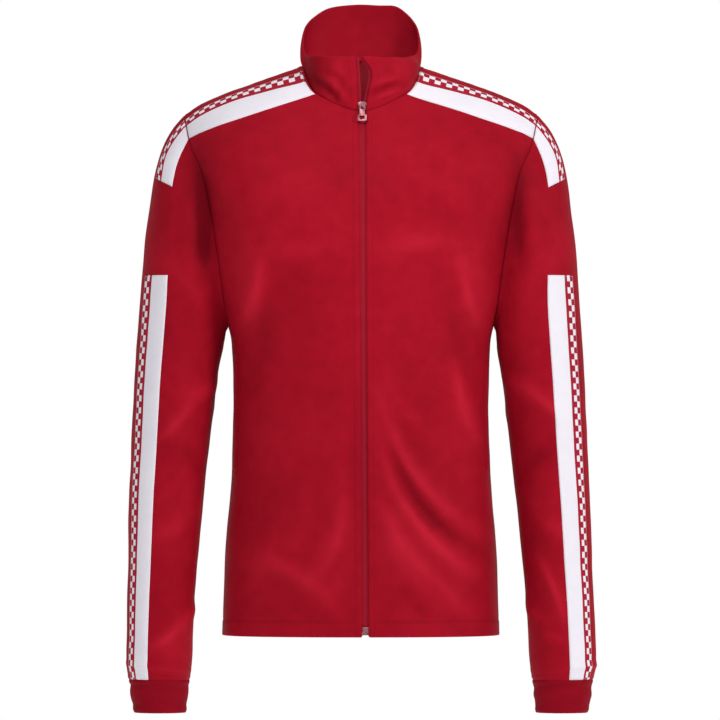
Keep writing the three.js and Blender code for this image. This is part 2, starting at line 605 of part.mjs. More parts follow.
// Closed body between an outer and an inner grid
function shellGeometry(outer, inner, closed) {
  const width = outer[0].length;
  const height = outer.length;
  const positions = [];
  for (const rows of [outer, inner]) {
    for (const row of rows) for (const point of row) positions.push(point.x, point.y, point.z);
  }
  const index = [];
  const id = (layer, r, c) => layer * width * height + r * width + (c % width);
  const spot = (i) => vec(...positions.slice(3 * i, 3 * i + 3));
  const quad = (a, b, c, d) => index.push(a, b, c, a, c, d);
  const rim = (a, b, c, d) => {
    if (spot(a).distanceTo(spot(c)) < spot(b).distanceTo(spot(d))) quad(a, b, c, d);
    else quad(b, c, d, a);
  };
  const cells = closed ? width : width - 1;
  for (let r = 0; r < height - 1; r += 1) {
    for (let c = 0; c < cells; c += 1) {
      const d = (c + 1) % width;
      const rising = outer[r][c].distanceTo(outer[r + 1][d]);
      const falling = outer[r][d].distanceTo(outer[r + 1][c]);
      const turn = rising <= falling ? 0 : 1;
      const corners = (layer) => {
        const ring = [id(layer, r, c), id(layer, r, d), id(layer, r + 1, d), id(layer, r + 1, c)];
        return [...ring.slice(turn), ...ring.slice(0, turn)];
      };
      quad(...corners(0));
      const [w, x, y, z] = corners(1);
      index.push(w, y, x, w, z, y);
    }
  }
  const top = height - 1;
  const side = width - 1;
  for (let c = 0; c < cells; c += 1) {
    rim(id(1, 0, c), id(1, 0, c + 1), id(0, 0, c + 1), id(0, 0, c));
    rim(id(0, top, c), id(0, top, c + 1), id(1, top, c + 1), id(1, top, c));
  }
  for (let r = 0; r < top && !closed; r += 1) {
    rim(id(0, r, 0), id(0, r + 1, 0), id(1, r + 1, 0), id(1, r, 0));
    rim(id(1, r, side), id(1, r + 1, side), id(0, r + 1, side), id(0, r, side));
  }
  const geometry = new THREE.BufferGeometry();
  geometry.setAttribute("position", new THREE.Float32BufferAttribute(positions, 3));
  geometry.setIndex(index);
  return geometry;
}

// Sheets of cloth: those that meet share one direction through the wall at each seam point
function layOutSheets() {
  const left = frontRows(1);
  const right = frontRows(-1);
  const back = backRows();
  const flip = (rows) => rows.map((row) => [...row].reverse());
  const sleeve = (side) => ringRows(SLEEVE, side, true);
  const cuff = (side) => ringRows(CUFF, side, false);
  return {
    front_left: { rows: left, wall: WALL.panel, closed: false, group: "body" },
    front_right: { rows: flip(right), wall: WALL.panel, closed: false, group: "body" },
    back: { rows: back, wall: WALL.panel, closed: false, group: "body" },
    sleeve_left: { rows: flip(sleeve(1)), wall: WALL.panel, closed: true, group: "sleeve" },
    sleeve_right: { rows: sleeve(-1), wall: WALL.panel, closed: true, group: "sleeve" },
    cuff_left: { rows: flip(cuff(1)), wall: WALL.cuff, closed: true, group: "cuff" },
    cuff_right: { rows: cuff(-1), wall: WALL.cuff, closed: true, group: "cuff" },
    collar: { rows: collarRows(left, right, back), wall: WALL.collar, closed: false, group: "collar" },
  };
}

// Outer and inner grids of every sheet, parted by the seam gap where sheets meet
function buildShells(sheets) {
  const meet = new Map();
  for (const [name, sheet] of Object.entries(sheets)) {
    sheet.normals = gridNormals(sheet.rows, sheet.closed);
    sheet.rows.forEach((row, r) => row.forEach((point, c) => {
      if (!atEdge(r, c, sheet.rows, sheet.closed)) return;
      const key = seamKey(point);
      if (!meet.has(key)) meet.set(key, { names: new Set(), normals: [], groups: {} });
      const entry = meet.get(key);
      entry.names.add(name);
      entry.normals.push(sheet.normals[r][c]);
      entry.groups[sheet.group] ??= vec(0, 0, 0);
      entry.groups[sheet.group].add(sheet.normals[r][c]);
    }));
  }
  const onSeam = (point) => (meet.get(seamKey(point))?.names.size ?? 0) > 1;
  for (const sheet of Object.values(sheets)) {
    sheet.outer = sheet.rows.map((row) => row.map((point) => point.clone()));
    sheet.inner = sheet.rows.map((row, r) => row.map((point, c) => {
      if (!atEdge(r, c, sheet.rows, sheet.closed) || !onSeam(point)) {
        return point.clone().addScaledVector(sheet.normals[r][c], -sheet.wall);
      }
      const entry = meet.get(seamKey(point));
      const through = vec(0, 0, 0);
      for (const sum of Object.values(entry.groups)) through.add(sum.clone().normalize());
      through.normalize();
      const leans = entry.normals.map((normal) => normal.dot(through));
      const lean = leans.reduce((sum, value) => sum + value, 0) / leans.length;
      const away = drawBack(sheet, r, c, through, onSeam);
      sheet.outer[r][c].addScaledVector(away, SEAM_GAP / 2);
      return sheet.outer[r][c].clone().addScaledVector(through, -sheet.wall / Math.max(lean, 0.5));
    }));
  }
}

// Strip lying on part of a sheet: its points moved out along the sheet's normals
function stripOn(sheet, rowRange, columnStops, firstShares, lastShares) {
  const width = sheet.rows[0].length;
  const bottom = [];
  const top = [];
  const [first, last] = rowRange;
  for (let r = first; r <= last; r += 1) {
    const low = [];
    const high = [];
    for (const [i, stop] of columnStops.entries()) {
      const c = Math.floor(stop);
      const share = stop - c;
      const take = (grid, row) => mixPoints(grid[row][c % width], grid[row][(c + 1) % width], share);
      let point = take(sheet.rows, r);
      let normal = take(sheet.normals, r).normalize();
      if (r === first || r === last) {
        const next = r === first ? r + 1 : r - 1;
        const endShare = (r === first ? firstShares : lastShares)[i];
        point = mixPoints(point, take(sheet.rows, next), endShare);
        normal = mixPoints(normal, take(sheet.normals, next), endShare).normalize();
      }
      low.push(point.clone().addScaledVector(normal, BAND_LIFT));
      high.push(point.clone().addScaledVector(normal, BAND_LIFT + sheet.stripWall));
    }
    bottom.push(low);
    top.push(high);
  }
  return shellGeometry(top, bottom, false);
}

// Shoulder, cap and sleeve bands, and the pocket welts
function buildStrips(sheets) {
  const out = {};
  const range = (from, to) => Array.from({ length: to - from + 1 }, (_, i) => from + i);
  for (const side of ["left", "right"]) {
    const front = { ...sheets[`front_${side}`], stripWall: WALL.band };
    const sleeve = { ...sheets[`sleeve_${side}`], stripWall: WALL.band };
    const topRow = front.rows.length - 1;
    const ends = range(0, FRONT_COLUMNS);
    const inset = ends.map((c) => {
      if (c === 0) return BAND_END_SHARE;
      return c === FRONT_COLUMNS ? FRONT_COLUMNS - BAND_END_SHARE : c;
    });
    const none = ends.map(() => 0);
    out[`shoulder_band_${side}`] = {
      geometry: stripOn(front, [topRow - SHOULDER_BAND.to, topRow - SHOULDER_BAND.from], inset, none, none),
      slot: "band",
    };
    const count = sleeve.rows[0].length;
    const tip = FRONT_ARCS.length + FRONT_LOWER_ROWS;
    const columnsOf = (band) => {
      const columns = range(tip - band.to, tip - band.from);
      return side === "right" ? columns : columns.map((c) => count - 1 - c).reverse();
    };
    // Shares are listed from the band's front edge to its rear edge
    const inOrder = (shares) => (side === "right" ? shares : [...shares].reverse());
    const even = CAP_BAND.lastShares.map(() => BAND_END_SHARE);
    const capRings = [CAP_BAND.firstRing, CAP_BAND.lastRing];
    const lowerRings = [SLEEVE_BAND.firstRing, SLEEVE_BAND.lastRing];
    const cap = stripOn(sleeve, capRings, columnsOf(CAP_BAND), even, inOrder(CAP_BAND.lastShares));
    const lower = stripOn(sleeve, lowerRings, columnsOf(SLEEVE_BAND), inOrder(SLEEVE_BAND.firstShares), even);
    out[`cap_band_${side}`] = { geometry: cap, slot: "band" };
    out[`sleeve_band_${side}`] = { geometry: lower, slot: "band" };
    const stops = [POCKET.column + POCKET.from, POCKET.column + POCKET.to];
    const welt = side === "left" ? stops : stops.map((stop) => FRONT_COLUMNS - stop).reverse();
    front.stripWall = WALL.welt;
    out[`pocket_welt_${side}`] = {
      geometry: stripOn(front, [POCKET.firstRow, POCKET.lastRow], welt, none, none),
      slot: "jersey",
    };
  }
  return out;
}

// Inner face of the cloth beside the zip, from the retainer box to the top of the collar
function zipStations(sheets, side) {
  const sign = side === "left" ? 1 : -1;
  const front = sheets[`front_${side}`];
  const corner = front.rows.length - 1 - FRONT_ARCS.length;
  const foot = BOX.z + BOX.height / 2 + SEAM_GAP;
  const stations = [];
  const take = (sheet, r) => {
    const edge = sign > 0 ? 0 : sheet.rows[0].length - 1;
    const pair = [edge, edge + sign].map((c) => {
      const point = sheet.inner[r][c].clone();
      return { point, into: point.clone().sub(sheet.outer[r][c]) };
    });
    pair[0].point.x = sheet.outer[r][edge].x;
    pair[0].into.x = 0;
    pair.forEach((place) => place.into.normalize());
    const slack = sheet === sheets.collar ? ZIP.collarSlack : 0;
    stations.push(pair.map((place) => ({ ...place, slack })));
  };
  for (let r = 0; r < corner; r += 1) take(front, r);
  for (let r = 0; r < sheets.collar.rows.length; r += 1) take(sheets.collar, r);
  const [start, next] = stations;
  const share = (foot - start[0].point.z) / (next[0].point.z - start[0].point.z);
  start.forEach((place, i) => place.point.lerp(next[i].point, share));
  return stations.map(([edge, neighbour]) => ({ edge, neighbour, sign }));
}

// Bar behind the zip edge: its columns are distances from the middle of the zip strip
function zipBar(stations, columns, depth, thick) {
  const grid = (extra) => stations.map(({ edge, neighbour, sign }) => {
    const row = columns.map((distance) => {
      const past = distance - ZIP.halfStrip;
      const share = Math.max(past, 0) / edge.point.distanceTo(neighbour.point);
      const point = mixPoints(edge.point, neighbour.point, share);
      const into = mixPoints(edge.into, neighbour.into, share).normalize();
      point.x += sign * Math.min(past, 0);
      return point.addScaledVector(into, SEAM_GAP + edge.slack + depth + extra);
    });
    return sign > 0 ? row : row.reverse();
  });
  return shellGeometry(grid(0), grid(thick), false);
}

const wasm = await Module();
wasm.setup();

function toManifold(geometry) {
  const flat = geometry.index ? geometry.toNonIndexed() : geometry;
  const source = flat.attributes.position.array;
  const mesh = new wasm.Mesh({
    numProp: 3,
    vertProperties: new Float32Array(source),
    triVerts: Uint32Array.from({ length: source.length / 3 }, (_, i) => i),
  });
  mesh.merge();
  return new wasm.Manifold(mesh);
}

function fromManifold(body) {
  const mesh = body.getMesh();
  const geometry = new THREE.BufferGeometry();
  geometry.setAttribute("position", new THREE.Float32BufferAttribute(mesh.vertProperties, 3));
  geometry.setIndex([...mesh.triVerts]);
  return geometry;
}

function roundedRect(halfWidth, bottom, top, radius) {
  const shape = new THREE.Shape();
  shape.moveTo(-halfWidth + radius, bottom);
  shape.lineTo(halfWidth - radius, bottom);
  shape.quadraticCurveTo(halfWidth, bottom, halfWidth, bottom + radius);
  shape.lineTo(halfWidth, top - radius);
  shape.quadraticCurveTo(halfWidth, top, halfWidth - radius, top);
  shape.lineTo(-halfWidth + radius, top);
  shape.quadraticCurveTo(-halfWidth, top, -halfWidth, top - radius);
  shape.lineTo(-halfWidth, bottom + radius);
  shape.quadraticCurveTo(-halfWidth, bottom, -halfWidth + radius, bottom);
  return shape;
}

const slab = (shape, depth, segments = 4) => new THREE.ExtrudeGeometry(shape, {
  depth, bevelEnabled: false, curveSegments: segments,
});
const block = (width, height, depth, x, v, w) => {
  return new THREE.BoxGeometry(width, height, depth).translate(x, v, w);
};

// Layers at the slider, measured out of the cloth: front plate, tape and coil, back plate
const plateFloor = SEAM_GAP;
const plateTop = plateFloor + SLIDER.plate;
const clothDepth = WALL.collar + ZIP.collarSlack;
const backTop = -(clothDepth + WALL.tape + WALL.coil + 4 * SEAM_GAP);
const pivotRise = plateTop + SLIDER.tunnelRise / 2;

// Zip slider: front plate, bridge for the pull, back plate, and the post between the coils
function sliderGeometry() {
  const half = SLIDER.height / 2;
  const plate = slab(roundedRect(SLIDER.width / 2, -half, half, 3), SLIDER.plate);
  const rear = plate.clone().translate(0, 0, backTop - SLIDER.plate);
  plate.translate(0, 0, plateFloor);
  const postV = SLIDER.postTop - SLIDER.postHeight / 2;
  const postDepth = plateTop - backTop;
  const post = block(SLIDER.postWidth, SLIDER.postHeight, postDepth, SLIDER.postX, postV, (plateTop + backTop) / 2 - 0.2);
  const archTop = plateTop + SLIDER.tunnelRise + SLIDER.bridgeWall;
  const archHeight = archTop - plateFloor - 0.3;
  const archMid = archTop - archHeight / 2;
  const arch = block(SLIDER.bridgeWidth, SLIDER.bridgeHalf * 2, archHeight, 0, PULL.pivotV, archMid);
  const tunnel = block(20, SLIDER.tunnelHalf * 2, SLIDER.tunnelRise, 0, PULL.pivotV, pivotRise);
  return fromManifold(toManifold(plate)
    .add(toManifold(arch))
    .subtract(toManifold(tunnel))
    .add(toManifold(post))
    .add(toManifold(rear)));
}

// Zip pull: crossbar, eye, stem and ring in one flat piece, about its own pivot
function pullGeometry() {
  const shape = roundedRect(PULL.stemHalf, -PULL.stemEnd - 2, PULL.barHalf, 1.2);
  const outline = [
    [PULL.stemHalf, -PULL.stemEnd + 1.5], [PULL.ringHalf, -PULL.stemEnd - 1.2],
    [PULL.ringHalf, -PULL.length + 2.4], [PULL.ringHalf - 2.4, -PULL.length],
  ];
  const ring = new THREE.Shape();
  ring.moveTo(outline[0][0], outline[0][1]);
  for (const [x, v] of outline.slice(1)) ring.lineTo(x, v);
  for (const [x, v] of [...outline].reverse()) ring.lineTo(-x, v);
  ring.closePath();
  const solid = toManifold(slab(shape, PULL.thick)).add(toManifold(slab(ring, PULL.thick)));
  const eye = block(PULL.eyeHalf * 2, PULL.eyeDrop - PULL.barHalf, 9, 0, -(PULL.eyeDrop + PULL.barHalf) / 2, 0);
  const hole = slab(roundedRect(PULL.holeHalf, -PULL.holeEnd, -PULL.holeTop, 1.6), 9);
  hole.translate(0, 0, -4);
  return fromManifold(solid.subtract(toManifold(eye)).subtract(toManifold(hole)))
    .translate(0, 0, -PULL.thick / 2);
}

// Frame of the slider: on the cloth edge line beside it
function sliderFrame(sheets) {
  const collar = sheets.collar.rows;
  const [low, next] = [collar[0][0], collar[1][0]];
  const share = (SLIDER.z - low.z) / (next.z - low.z);
  const place = mixPoints(low, next, share);
  place.x = zipX(SLIDER.z);
  const up = vec(0, next.y - low.y, next.z - low.z).normalize();
  const out = vec(1, 0, 0).cross(up);
  const basis = new THREE.Matrix4().makeBasis(vec(1, 0, 0), up, out);
  return basis.setPosition(place);
}

const COLOURS = {
  jersey: { color: 0xa8102a, roughness: 0.7, metalness: 0 },
  rib: { color: 0x9c0e26, roughness: 0.85, metalness: 0 },
  band: { color: 0xe8e2ea, roughness: 0.7, metalness: 0 },
  tape: { color: 0x8c0c22, roughness: 0.8, metalness: 0 },
  coil: { color: 0x7c0a1e, roughness: 0.5, metalness: 0 },
  metal: { color: 0xc98a90, roughness: 0.3, metalness: 0.9 },
};

function buildJacket() {
  const jacket = new THREE.Group();
  jacket.name = "track_jacket";
  const slots = {};
  for (const [name, look] of Object.entries(COLOURS)) {
    slots[name] = new THREE.MeshStandardMaterial({ name, ...look });
  }
  const add = (name, geometry, slot) => {
    geometry.computeVertexNormals();
    const mesh = new THREE.Mesh(geometry, slots[slot]);
    mesh.name = name;
    jacket.add(mesh);
  };
  const sheets = layOutSheets();
  buildShells(sheets);
  for (const [name, sheet] of Object.entries(sheets)) {
    const slot = sheet.group === "cuff" ? "rib" : "jersey";
    add(name, shellGeometry(sheet.outer, sheet.inner, sheet.closed), slot);
  }
  for (const [name, strip] of Object.entries(buildStrips(sheets))) add(name, strip.geometry, strip.slot);
  const middle = SEAM_GAP / 2;
  const tapeColumns = [middle, ZIP.halfStrip, ZIP.halfStrip + ZIP.tapeHidden];
  for (const side of ["left", "right"]) {
    const stations = zipStations(sheets, side);
    const tape = zipBar(stations, tapeColumns, 0, WALL.tape);
    const coil = zipBar(stations, [middle, ZIP.coilWidth], WALL.tape + SEAM_GAP, WALL.coil);
    add(`zip_tape_${side}`, tape, "tape");
    add(`zip_coil_${side}`, coil, "coil");
  }
  const frame = sliderFrame(sheets);
  add("zip_slider", sliderGeometry().applyMatrix4(frame), "metal");
  const tilt = THREE.MathUtils.degToRad(-PULL.tilt);
  const pull = pullGeometry().rotateX(tilt).translate(0, PULL.pivotV, pivotRise);
  add("zip_pull", pull.applyMatrix4(frame), "metal");
  const boxEdge = sheets.front_left.rows[1][0];
  const boxY = boxEdge.y + WALL.panel + SEAM_GAP + (WALL.tape + SEAM_GAP + WALL.coil) / 2;
  add("zip_box", block(BOX.width, BOX.thick, BOX.height, BOX.x, boxY, BOX.z), "metal");
  return jacket;
}

export default buildJacket();
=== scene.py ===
"""Men's full-zip track jacket, worn shape and empty inside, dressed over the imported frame."""

import logging
import math
from collections.abc import Callable
from dataclasses import dataclass, field, replace
from enum import Enum

import bmesh
import bpy
import numpy as np
from mathutils import Matrix, Vector


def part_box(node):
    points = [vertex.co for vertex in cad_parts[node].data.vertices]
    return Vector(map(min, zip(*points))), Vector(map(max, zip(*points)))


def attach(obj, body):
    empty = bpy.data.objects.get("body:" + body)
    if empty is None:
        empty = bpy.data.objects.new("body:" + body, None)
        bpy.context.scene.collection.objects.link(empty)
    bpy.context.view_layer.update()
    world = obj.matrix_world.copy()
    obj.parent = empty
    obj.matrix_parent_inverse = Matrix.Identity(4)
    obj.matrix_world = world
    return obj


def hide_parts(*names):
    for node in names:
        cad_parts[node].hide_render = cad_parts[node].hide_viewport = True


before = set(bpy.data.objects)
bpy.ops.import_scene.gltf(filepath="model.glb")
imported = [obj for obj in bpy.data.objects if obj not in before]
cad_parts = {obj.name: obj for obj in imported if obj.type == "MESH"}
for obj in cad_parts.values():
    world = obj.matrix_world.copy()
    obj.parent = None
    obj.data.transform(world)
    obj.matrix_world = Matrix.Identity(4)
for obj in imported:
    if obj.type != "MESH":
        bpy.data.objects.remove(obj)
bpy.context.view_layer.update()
LOG = logging.getLogger("track_jacket")

# All sizes in millimetres, as in the part's source. +X is the wearer's left, -Y the front.
MM = 0.001
HEM_Z = -710.0
ARMPIT_Z = -326.0
BODY_STEPS = 13
HEM_FOLD = 18.0
MID_Y = 6.0
NECK_HALF = 72.5
NECK_FRONT_Z = -59.0
NECK_BACK_Z = 8.0
TIP_X = 221.0
ROUNDNESS = 2.4
FRONT_COLUMNS = 9
BACK_NECK_COLUMNS = 4
FRONT_ARCS = (6, 12, 18, 24, 33, 43, 78)
NECK_ARCS = (10, 20, 31, 46, 59, 74)
ROW_ARCH = (0, 0.5, 2, 4.2, 5.8, 3.6, 0.8, 0)
FRONT_LOWER_ROWS = 6
BACK_ARCS = (12, 26, 45)
BACK_LOWER_ROWS = 6
CAP_FADE_RINGS = 6
SWING = {1: 0.0, -1: 4.0}
COLLAR_BULGE = 3.5
SEAM_GAP = 0.4
SLEEVE_COLUMNS = 22
TIP_Z = -61.0
EDGES = ("foot", "head", "start", "end")
SIDES = (("left", 1), ("right", -1))
SEAM_ROWS = (0.3, 0.62)
HEMMED = ("front_left", "front_right", "back")
SMALLEST_FILL, LARGEST_FILL = 0.31, 0.99


class Face(Enum):
    """Side of the body that a sheet or fold lies on."""

    FRONT = -1
    BACK = 1


class Look(Enum):
    """Finishes of the jacket."""

    JERSEY = "jersey"
    RIB = "rib"
    BAND = "band"
    TAPE = "tape"
    COIL = "coil"
    METAL = "metal"
    THREAD = "thread"
    WHITE_THREAD = "white_thread"


class Table:
    """Rows of named columns, read on a smooth curve through them."""

    def __init__(self, names: str, *rows: tuple[float, ...]) -> None:
        """Keep the rows in rising order of the first column.

        Args:
            names: Column names, the key column first.
            rows: One tuple of numbers per row.
        """
        data = np.array(rows, dtype=float)
        if data[-1, 0] < data[0, 0]:
            data = data[::-1]
        self.key = data[:, 0]
        self.columns = dict(zip(names.split(), data.T))

    def look(self, name: str, value: np.ndarray | float) -> np.ndarray:
        """Read one column at values of the key.

        Args:
            name: Column to read.
            value: Places along the key column.

        Returns:
            The column's values there.
        """
        key, column = self.key, self.columns[name]
        last = len(key) - 1
        place = np.clip(value, key[0], key[-1])
        i = np.clip(np.searchsorted(key, place, side="left") - 1, 0, last - 1)
        step = key[i + 1] - key[i]
        t = (place - key[i]) / step
        before, after = np.maximum(i - 1, 0), np.minimum(i + 2, last)
        m0 = (column[i + 1] - column[before]) / (key[i + 1] - key[before]) * step
        m1 = (column[after] - column[i]) / (key[after] - key[i]) * step
        ease = t * t * (3 - 2 * t)
        flat = column[i] + (column[i + 1] - column[i]) * ease
        return flat + m0 * t * (1 - t) ** 2 - m1 * t * t * (1 - t)


# Torso sections: half width at the side seam, depth of front and back from it
TORSO = Table(
    "z half front back",
    (-710, 173, 101, 97), (-636, 171, 101, 95), (-580, 167.5, 101, 93), (-524, 163, 102, 91),
    (-455, 160, 105, 90), (-390, 160.3, 110, 93), (-345, 161.6, 115, 98), (-326, 165.5, 117, 101),
    (-290, 176, 121, 106), (-230, 190, 123, 109), (-180, 203, 122, 109), (-132, 215, 120, 108),
    (-61, 232, 116, 105), (30, 242, 114, 104),
)
# Height of the shoulder line, and how far below it front and back reach full depth
SHOULDER = Table(
    "x z front back",
    (0, 22, 262, 190), (40, 16, 232, 184), (72.5, 0, 205, 176), (104, -11, 180, 162),
    (141, -24, 158, 148), (174, -36, 150, 140), (203, -49, 150, 140), (221, -61, 150, 140),
)
RIDGE_ROUND = {Face.FRONT: 14.0, Face.BACK: 25.0}
# Armhole seam from the shoulder tip down to the armpit
ARMHOLE = {
    Face.FRONT: Table(
        "z x", (-61, 221), (-105, 211), (-132, 199), (-184, 187), (-225, 180), (-290, 171), (-326, 165.5)
    ),
    Face.BACK: Table(
        "z x", (-61, 221), (-105, 209), (-140, 194), (-190, 185), (-240, 178), (-290, 170.5), (-326, 165.5)
    ),
}
NECK_FRONT = Table("z x", (-59, 4), (-57, 18), (-51, 33), (-36, 57.5), (-16, 70), (0, 72.5))
# Sleeve rings: outer and inner point in the front view, half depths and middle in Y
SLEEVE = Table(
    "n ox oz ix iz front back y",
    (0, 221, -61, 165.5, -326, 60, 52, 4), (1, 236, -80, 168.2, -331, 62, 58, 4),
    (2, 246.5, -100, 169, -336, 63, 60, 4), (3, 254, -124, 169.4, -341, 63, 62, 4),
    (4, 260, -155, 170, -347, 63, 63, 4), (5, 265, -195, 170.4, -354, 62, 63, 4),
    (6, 269, -238, 171.6, -363, 61, 62, 4), (7, 272.5, -283, 173.5, -375, 59, 61, 4),
    (8, 276, -335, 176.5, -396, 57, 60, 4), (9, 279.5, -390, 180, -427, 55, 58, 3),
    (10, 282, -450, 184.5, -464, 53, 55, 1), (11, 284.5, -508, 189.5, -510, 50, 51, -2),
    (12, 286.5, -562, 195.5, -562, 47, 47, -6), (13, 288, -614, 200.5, -614, 44, 44, -10),
    (14, 290, -664, 205.5, -664, 42, 41, -14), (15, 291.5, -706, 208.5, -706, 40, 39, -16),
    (16, 292.5, -744, 210.5, -744, 38.5, 38, -18), (17, 290, -766, 213.5, -766, 36, 36, -18),
)
CUFF = Table(
    "n ox oz ix iz front back y",
    (0, 290, -766, 213.5, -766, 36, 36, -18), (1, 288, -774, 215, -774, 34.5, 34.5, -18),
    (2, 287.5, -787, 216, -787, 33.5, 33.5, -18), (3, 284.5, -799, 218, -799, 32, 32, -18),
    (4, 281.5, -806, 220, -806, 30.5, 30.5, -18),
)
# Collar top edge from the front corner round to the middle of the back
COLLAR_TOP = (
    (20, -66, 9), (42, -57, 9), (62, -38, 10), (70.5, -12, 15), (73, 7, 32), (71, 22, 50),
    (62, 36, 65), (45, 46, 76), (22, 51, 82), (0, 53, 85),
)
# Front edges of the collar, which part above the slider and meet again at the top
COLLAR_EDGE = Table(
    "share left right y",
    (0, 0, 0, 0), (0.22, 2.4, -1.4, -0.4), (0.48, 6.2, -2.2, -1), (0.74, 7.6, -3.2, 0.5), (1, -4, -4.2, 1.5),
)
# Turns at which the band's front edge, the rear of its broad part and its rear edge cross the rings
BAND_TURNS = {
    -1: Table(
        "ring front broad rear",
        (0, 0.4313, 0.4617, 0.4808), (1, 0.408, 0.457, 0.479), (2, 0.382, 0.447, 0.473), (3, 0.357, 0.42, 0.463),
        (5, 0.318, 0.389, 0.441), (7, 0.306, 0.378, 0.43), (17, 0.304, 0.377, 0.43),
    ),
    1: Table(
        "ring front broad rear",
        (0, 0.4313, 0.4617, 0.4808), (1, 0.404, 0.454, 0.478), (2, 0.376, 0.442, 0.471), (3, 0.349, 0.414, 0.459),
        (5, 0.299, 0.374, 0.429), (7, 0.283, 0.36, 0.414), (17, 0.28, 0.358, 0.41),
    ),
}


@dataclass(frozen=True)
class Wall:
    """Thickness of each cloth."""

    panel: float = 1.6
    cuff: float = 2.4
    collar: float = 2.4
    band: float = 0.8
    tape: float = 1.0
    coil: float = 1.5
    welt: float = 0.9
    band_lift: float = 0.35


@dataclass(frozen=True)
class ZipLine:
    """Line and widths of the front zip."""

    top_x: float = 1.5
    foot_x: float = 5.5
    half_strip: float = 4.9
    tape_hidden: float = 7.0
    coil_width: float = 2.6
    collar_slack: float = 0.35

    def x(self, z: np.ndarray | float) -> np.ndarray:
        """Middle of the zip at a height."""
        return self.top_x + (self.foot_x - self.top_x) * (NECK_FRONT_Z - z) / (NECK_FRONT_Z - HEM_Z)


WALL = Wall()
ZIP = ZipLine()


@dataclass(frozen=True)
class Fold:
    """Soft ridge, or hollow where rise is negative, on a bowed line of the front view."""

    face: Face
    x0: float
    z0: float
    x1: float
    z1: float
    bow: float
    width: float
    rise: float
    ends: float = 0.35
    skew: float = 0.0

    def height(self, x: np.ndarray, z: np.ndarray) -> np.ndarray:
        """Outward rise at places of the front view.

        Args:
            x: Places across.
            z: Heights.

        Returns:
            The rise in millimetres.
        """
        t = np.linspace(0, 1, 33)
        dx, dz = self.x1 - self.x0, self.z1 - self.z0
        length = math.hypot(dx, dz)
        sag = 4 * self.bow * t * (1 - t)
        px, pz = self.x0 + dx * t - dz / length * sag, self.z0 + dz * t + dx / length * sag
        span = self.width * 3 + abs(self.bow)
        near = (x > min(px) - span) & (x < max(px) + span) & (z > min(pz) - span) & (z < max(pz) + span)
        out = np.zeros_like(x, dtype=float)
        if not near.any():
            return out
        gx, gz = x[near][:, None] - px, z[near][:, None] - pz
        gap = np.hypot(gx, gz)
        best = gap.argmin(axis=1)
        rows = np.arange(len(best))
        side = np.sign((gx[rows, best] * -dz + gz[rows, best] * dx) / length)
        wide = self.width * (1 + self.skew * side)
        swell = self.ends + (1 - self.ends) * np.sin(np.pi * t[best])
        out[near] = self.rise * np.exp(-((gap[rows, best] / wide) ** 2)) * swell
        return out


F, B = Face.FRONT, Face.BACK
# Largest folds, as in the solids
MAIN_FOLDS = (
    Fold(F, 18, -400, 150, -583, -26, 13, 4), Fold(F, 16, -450, 140, -632, -24, 13, 3.6),
    Fold(F, 28, -433, 146, -607, -26, 10, -2.6), Fold(F, 16, -528, 118, -664, -14, 14, 3),
    Fold(F, 118, -372, 150, -478, -6, 12, 3.2), Fold(F, 126, -238, 152, -330, -6, 15, 4),
    Fold(F, 24, -232, 128, -226, 6, 16, 2), Fold(F, -24, -524, -60, -640, 12, 16, 2.6),
    Fold(F, -128, -240, -152, -330, 6, 15, 4), Fold(F, -30, -676, -140, -612, -10, 15, 2.4),
    Fold(F, -203, -112, -196, -262, 5, 14, -6), Fold(F, 203, -120, 196, -250, -5, 12, -4),
    Fold(F, 214, -608, 254, -700, 4, 9, 3), Fold(F, -206, -420, -262, -470, 4, 11, 3),
    Fold(F, 200, -404, 258, -452, 4, 11, 3), Fold(F, -214, -690, -270, -730, 3, 8, 2.4),
    Fold(B, -120, -200, 96, -232, -18, 18, 3), Fold(B, -130, -500, 40, -560, -22, 15, 3.4),
    Fold(B, 140, -470, -20, -610, -20, 15, 3.2), Fold(B, -140, -590, 30, -664, -16, 14, 2.8),
    Fold(B, 130, -250, 154, -340, -6, 15, 4), Fold(B, -130, -250, -154, -340, 6, 15, 4),
    Fold(B, 202, -120, 196, -260, -5, 14, -5), Fold(B, -202, -120, -196, -260, 5, 14, -5),
    Fold(B, 200, -420, 262, -400, 6, 11, 3.4), Fold(B, -200, -414, -262, -396, -6, 11, 3.4),
    Fold(B, 208, -560, 266, -526, 5, 11, 2.8), Fold(B, -208, -566, -266, -530, -5, 11, 2.8),
)
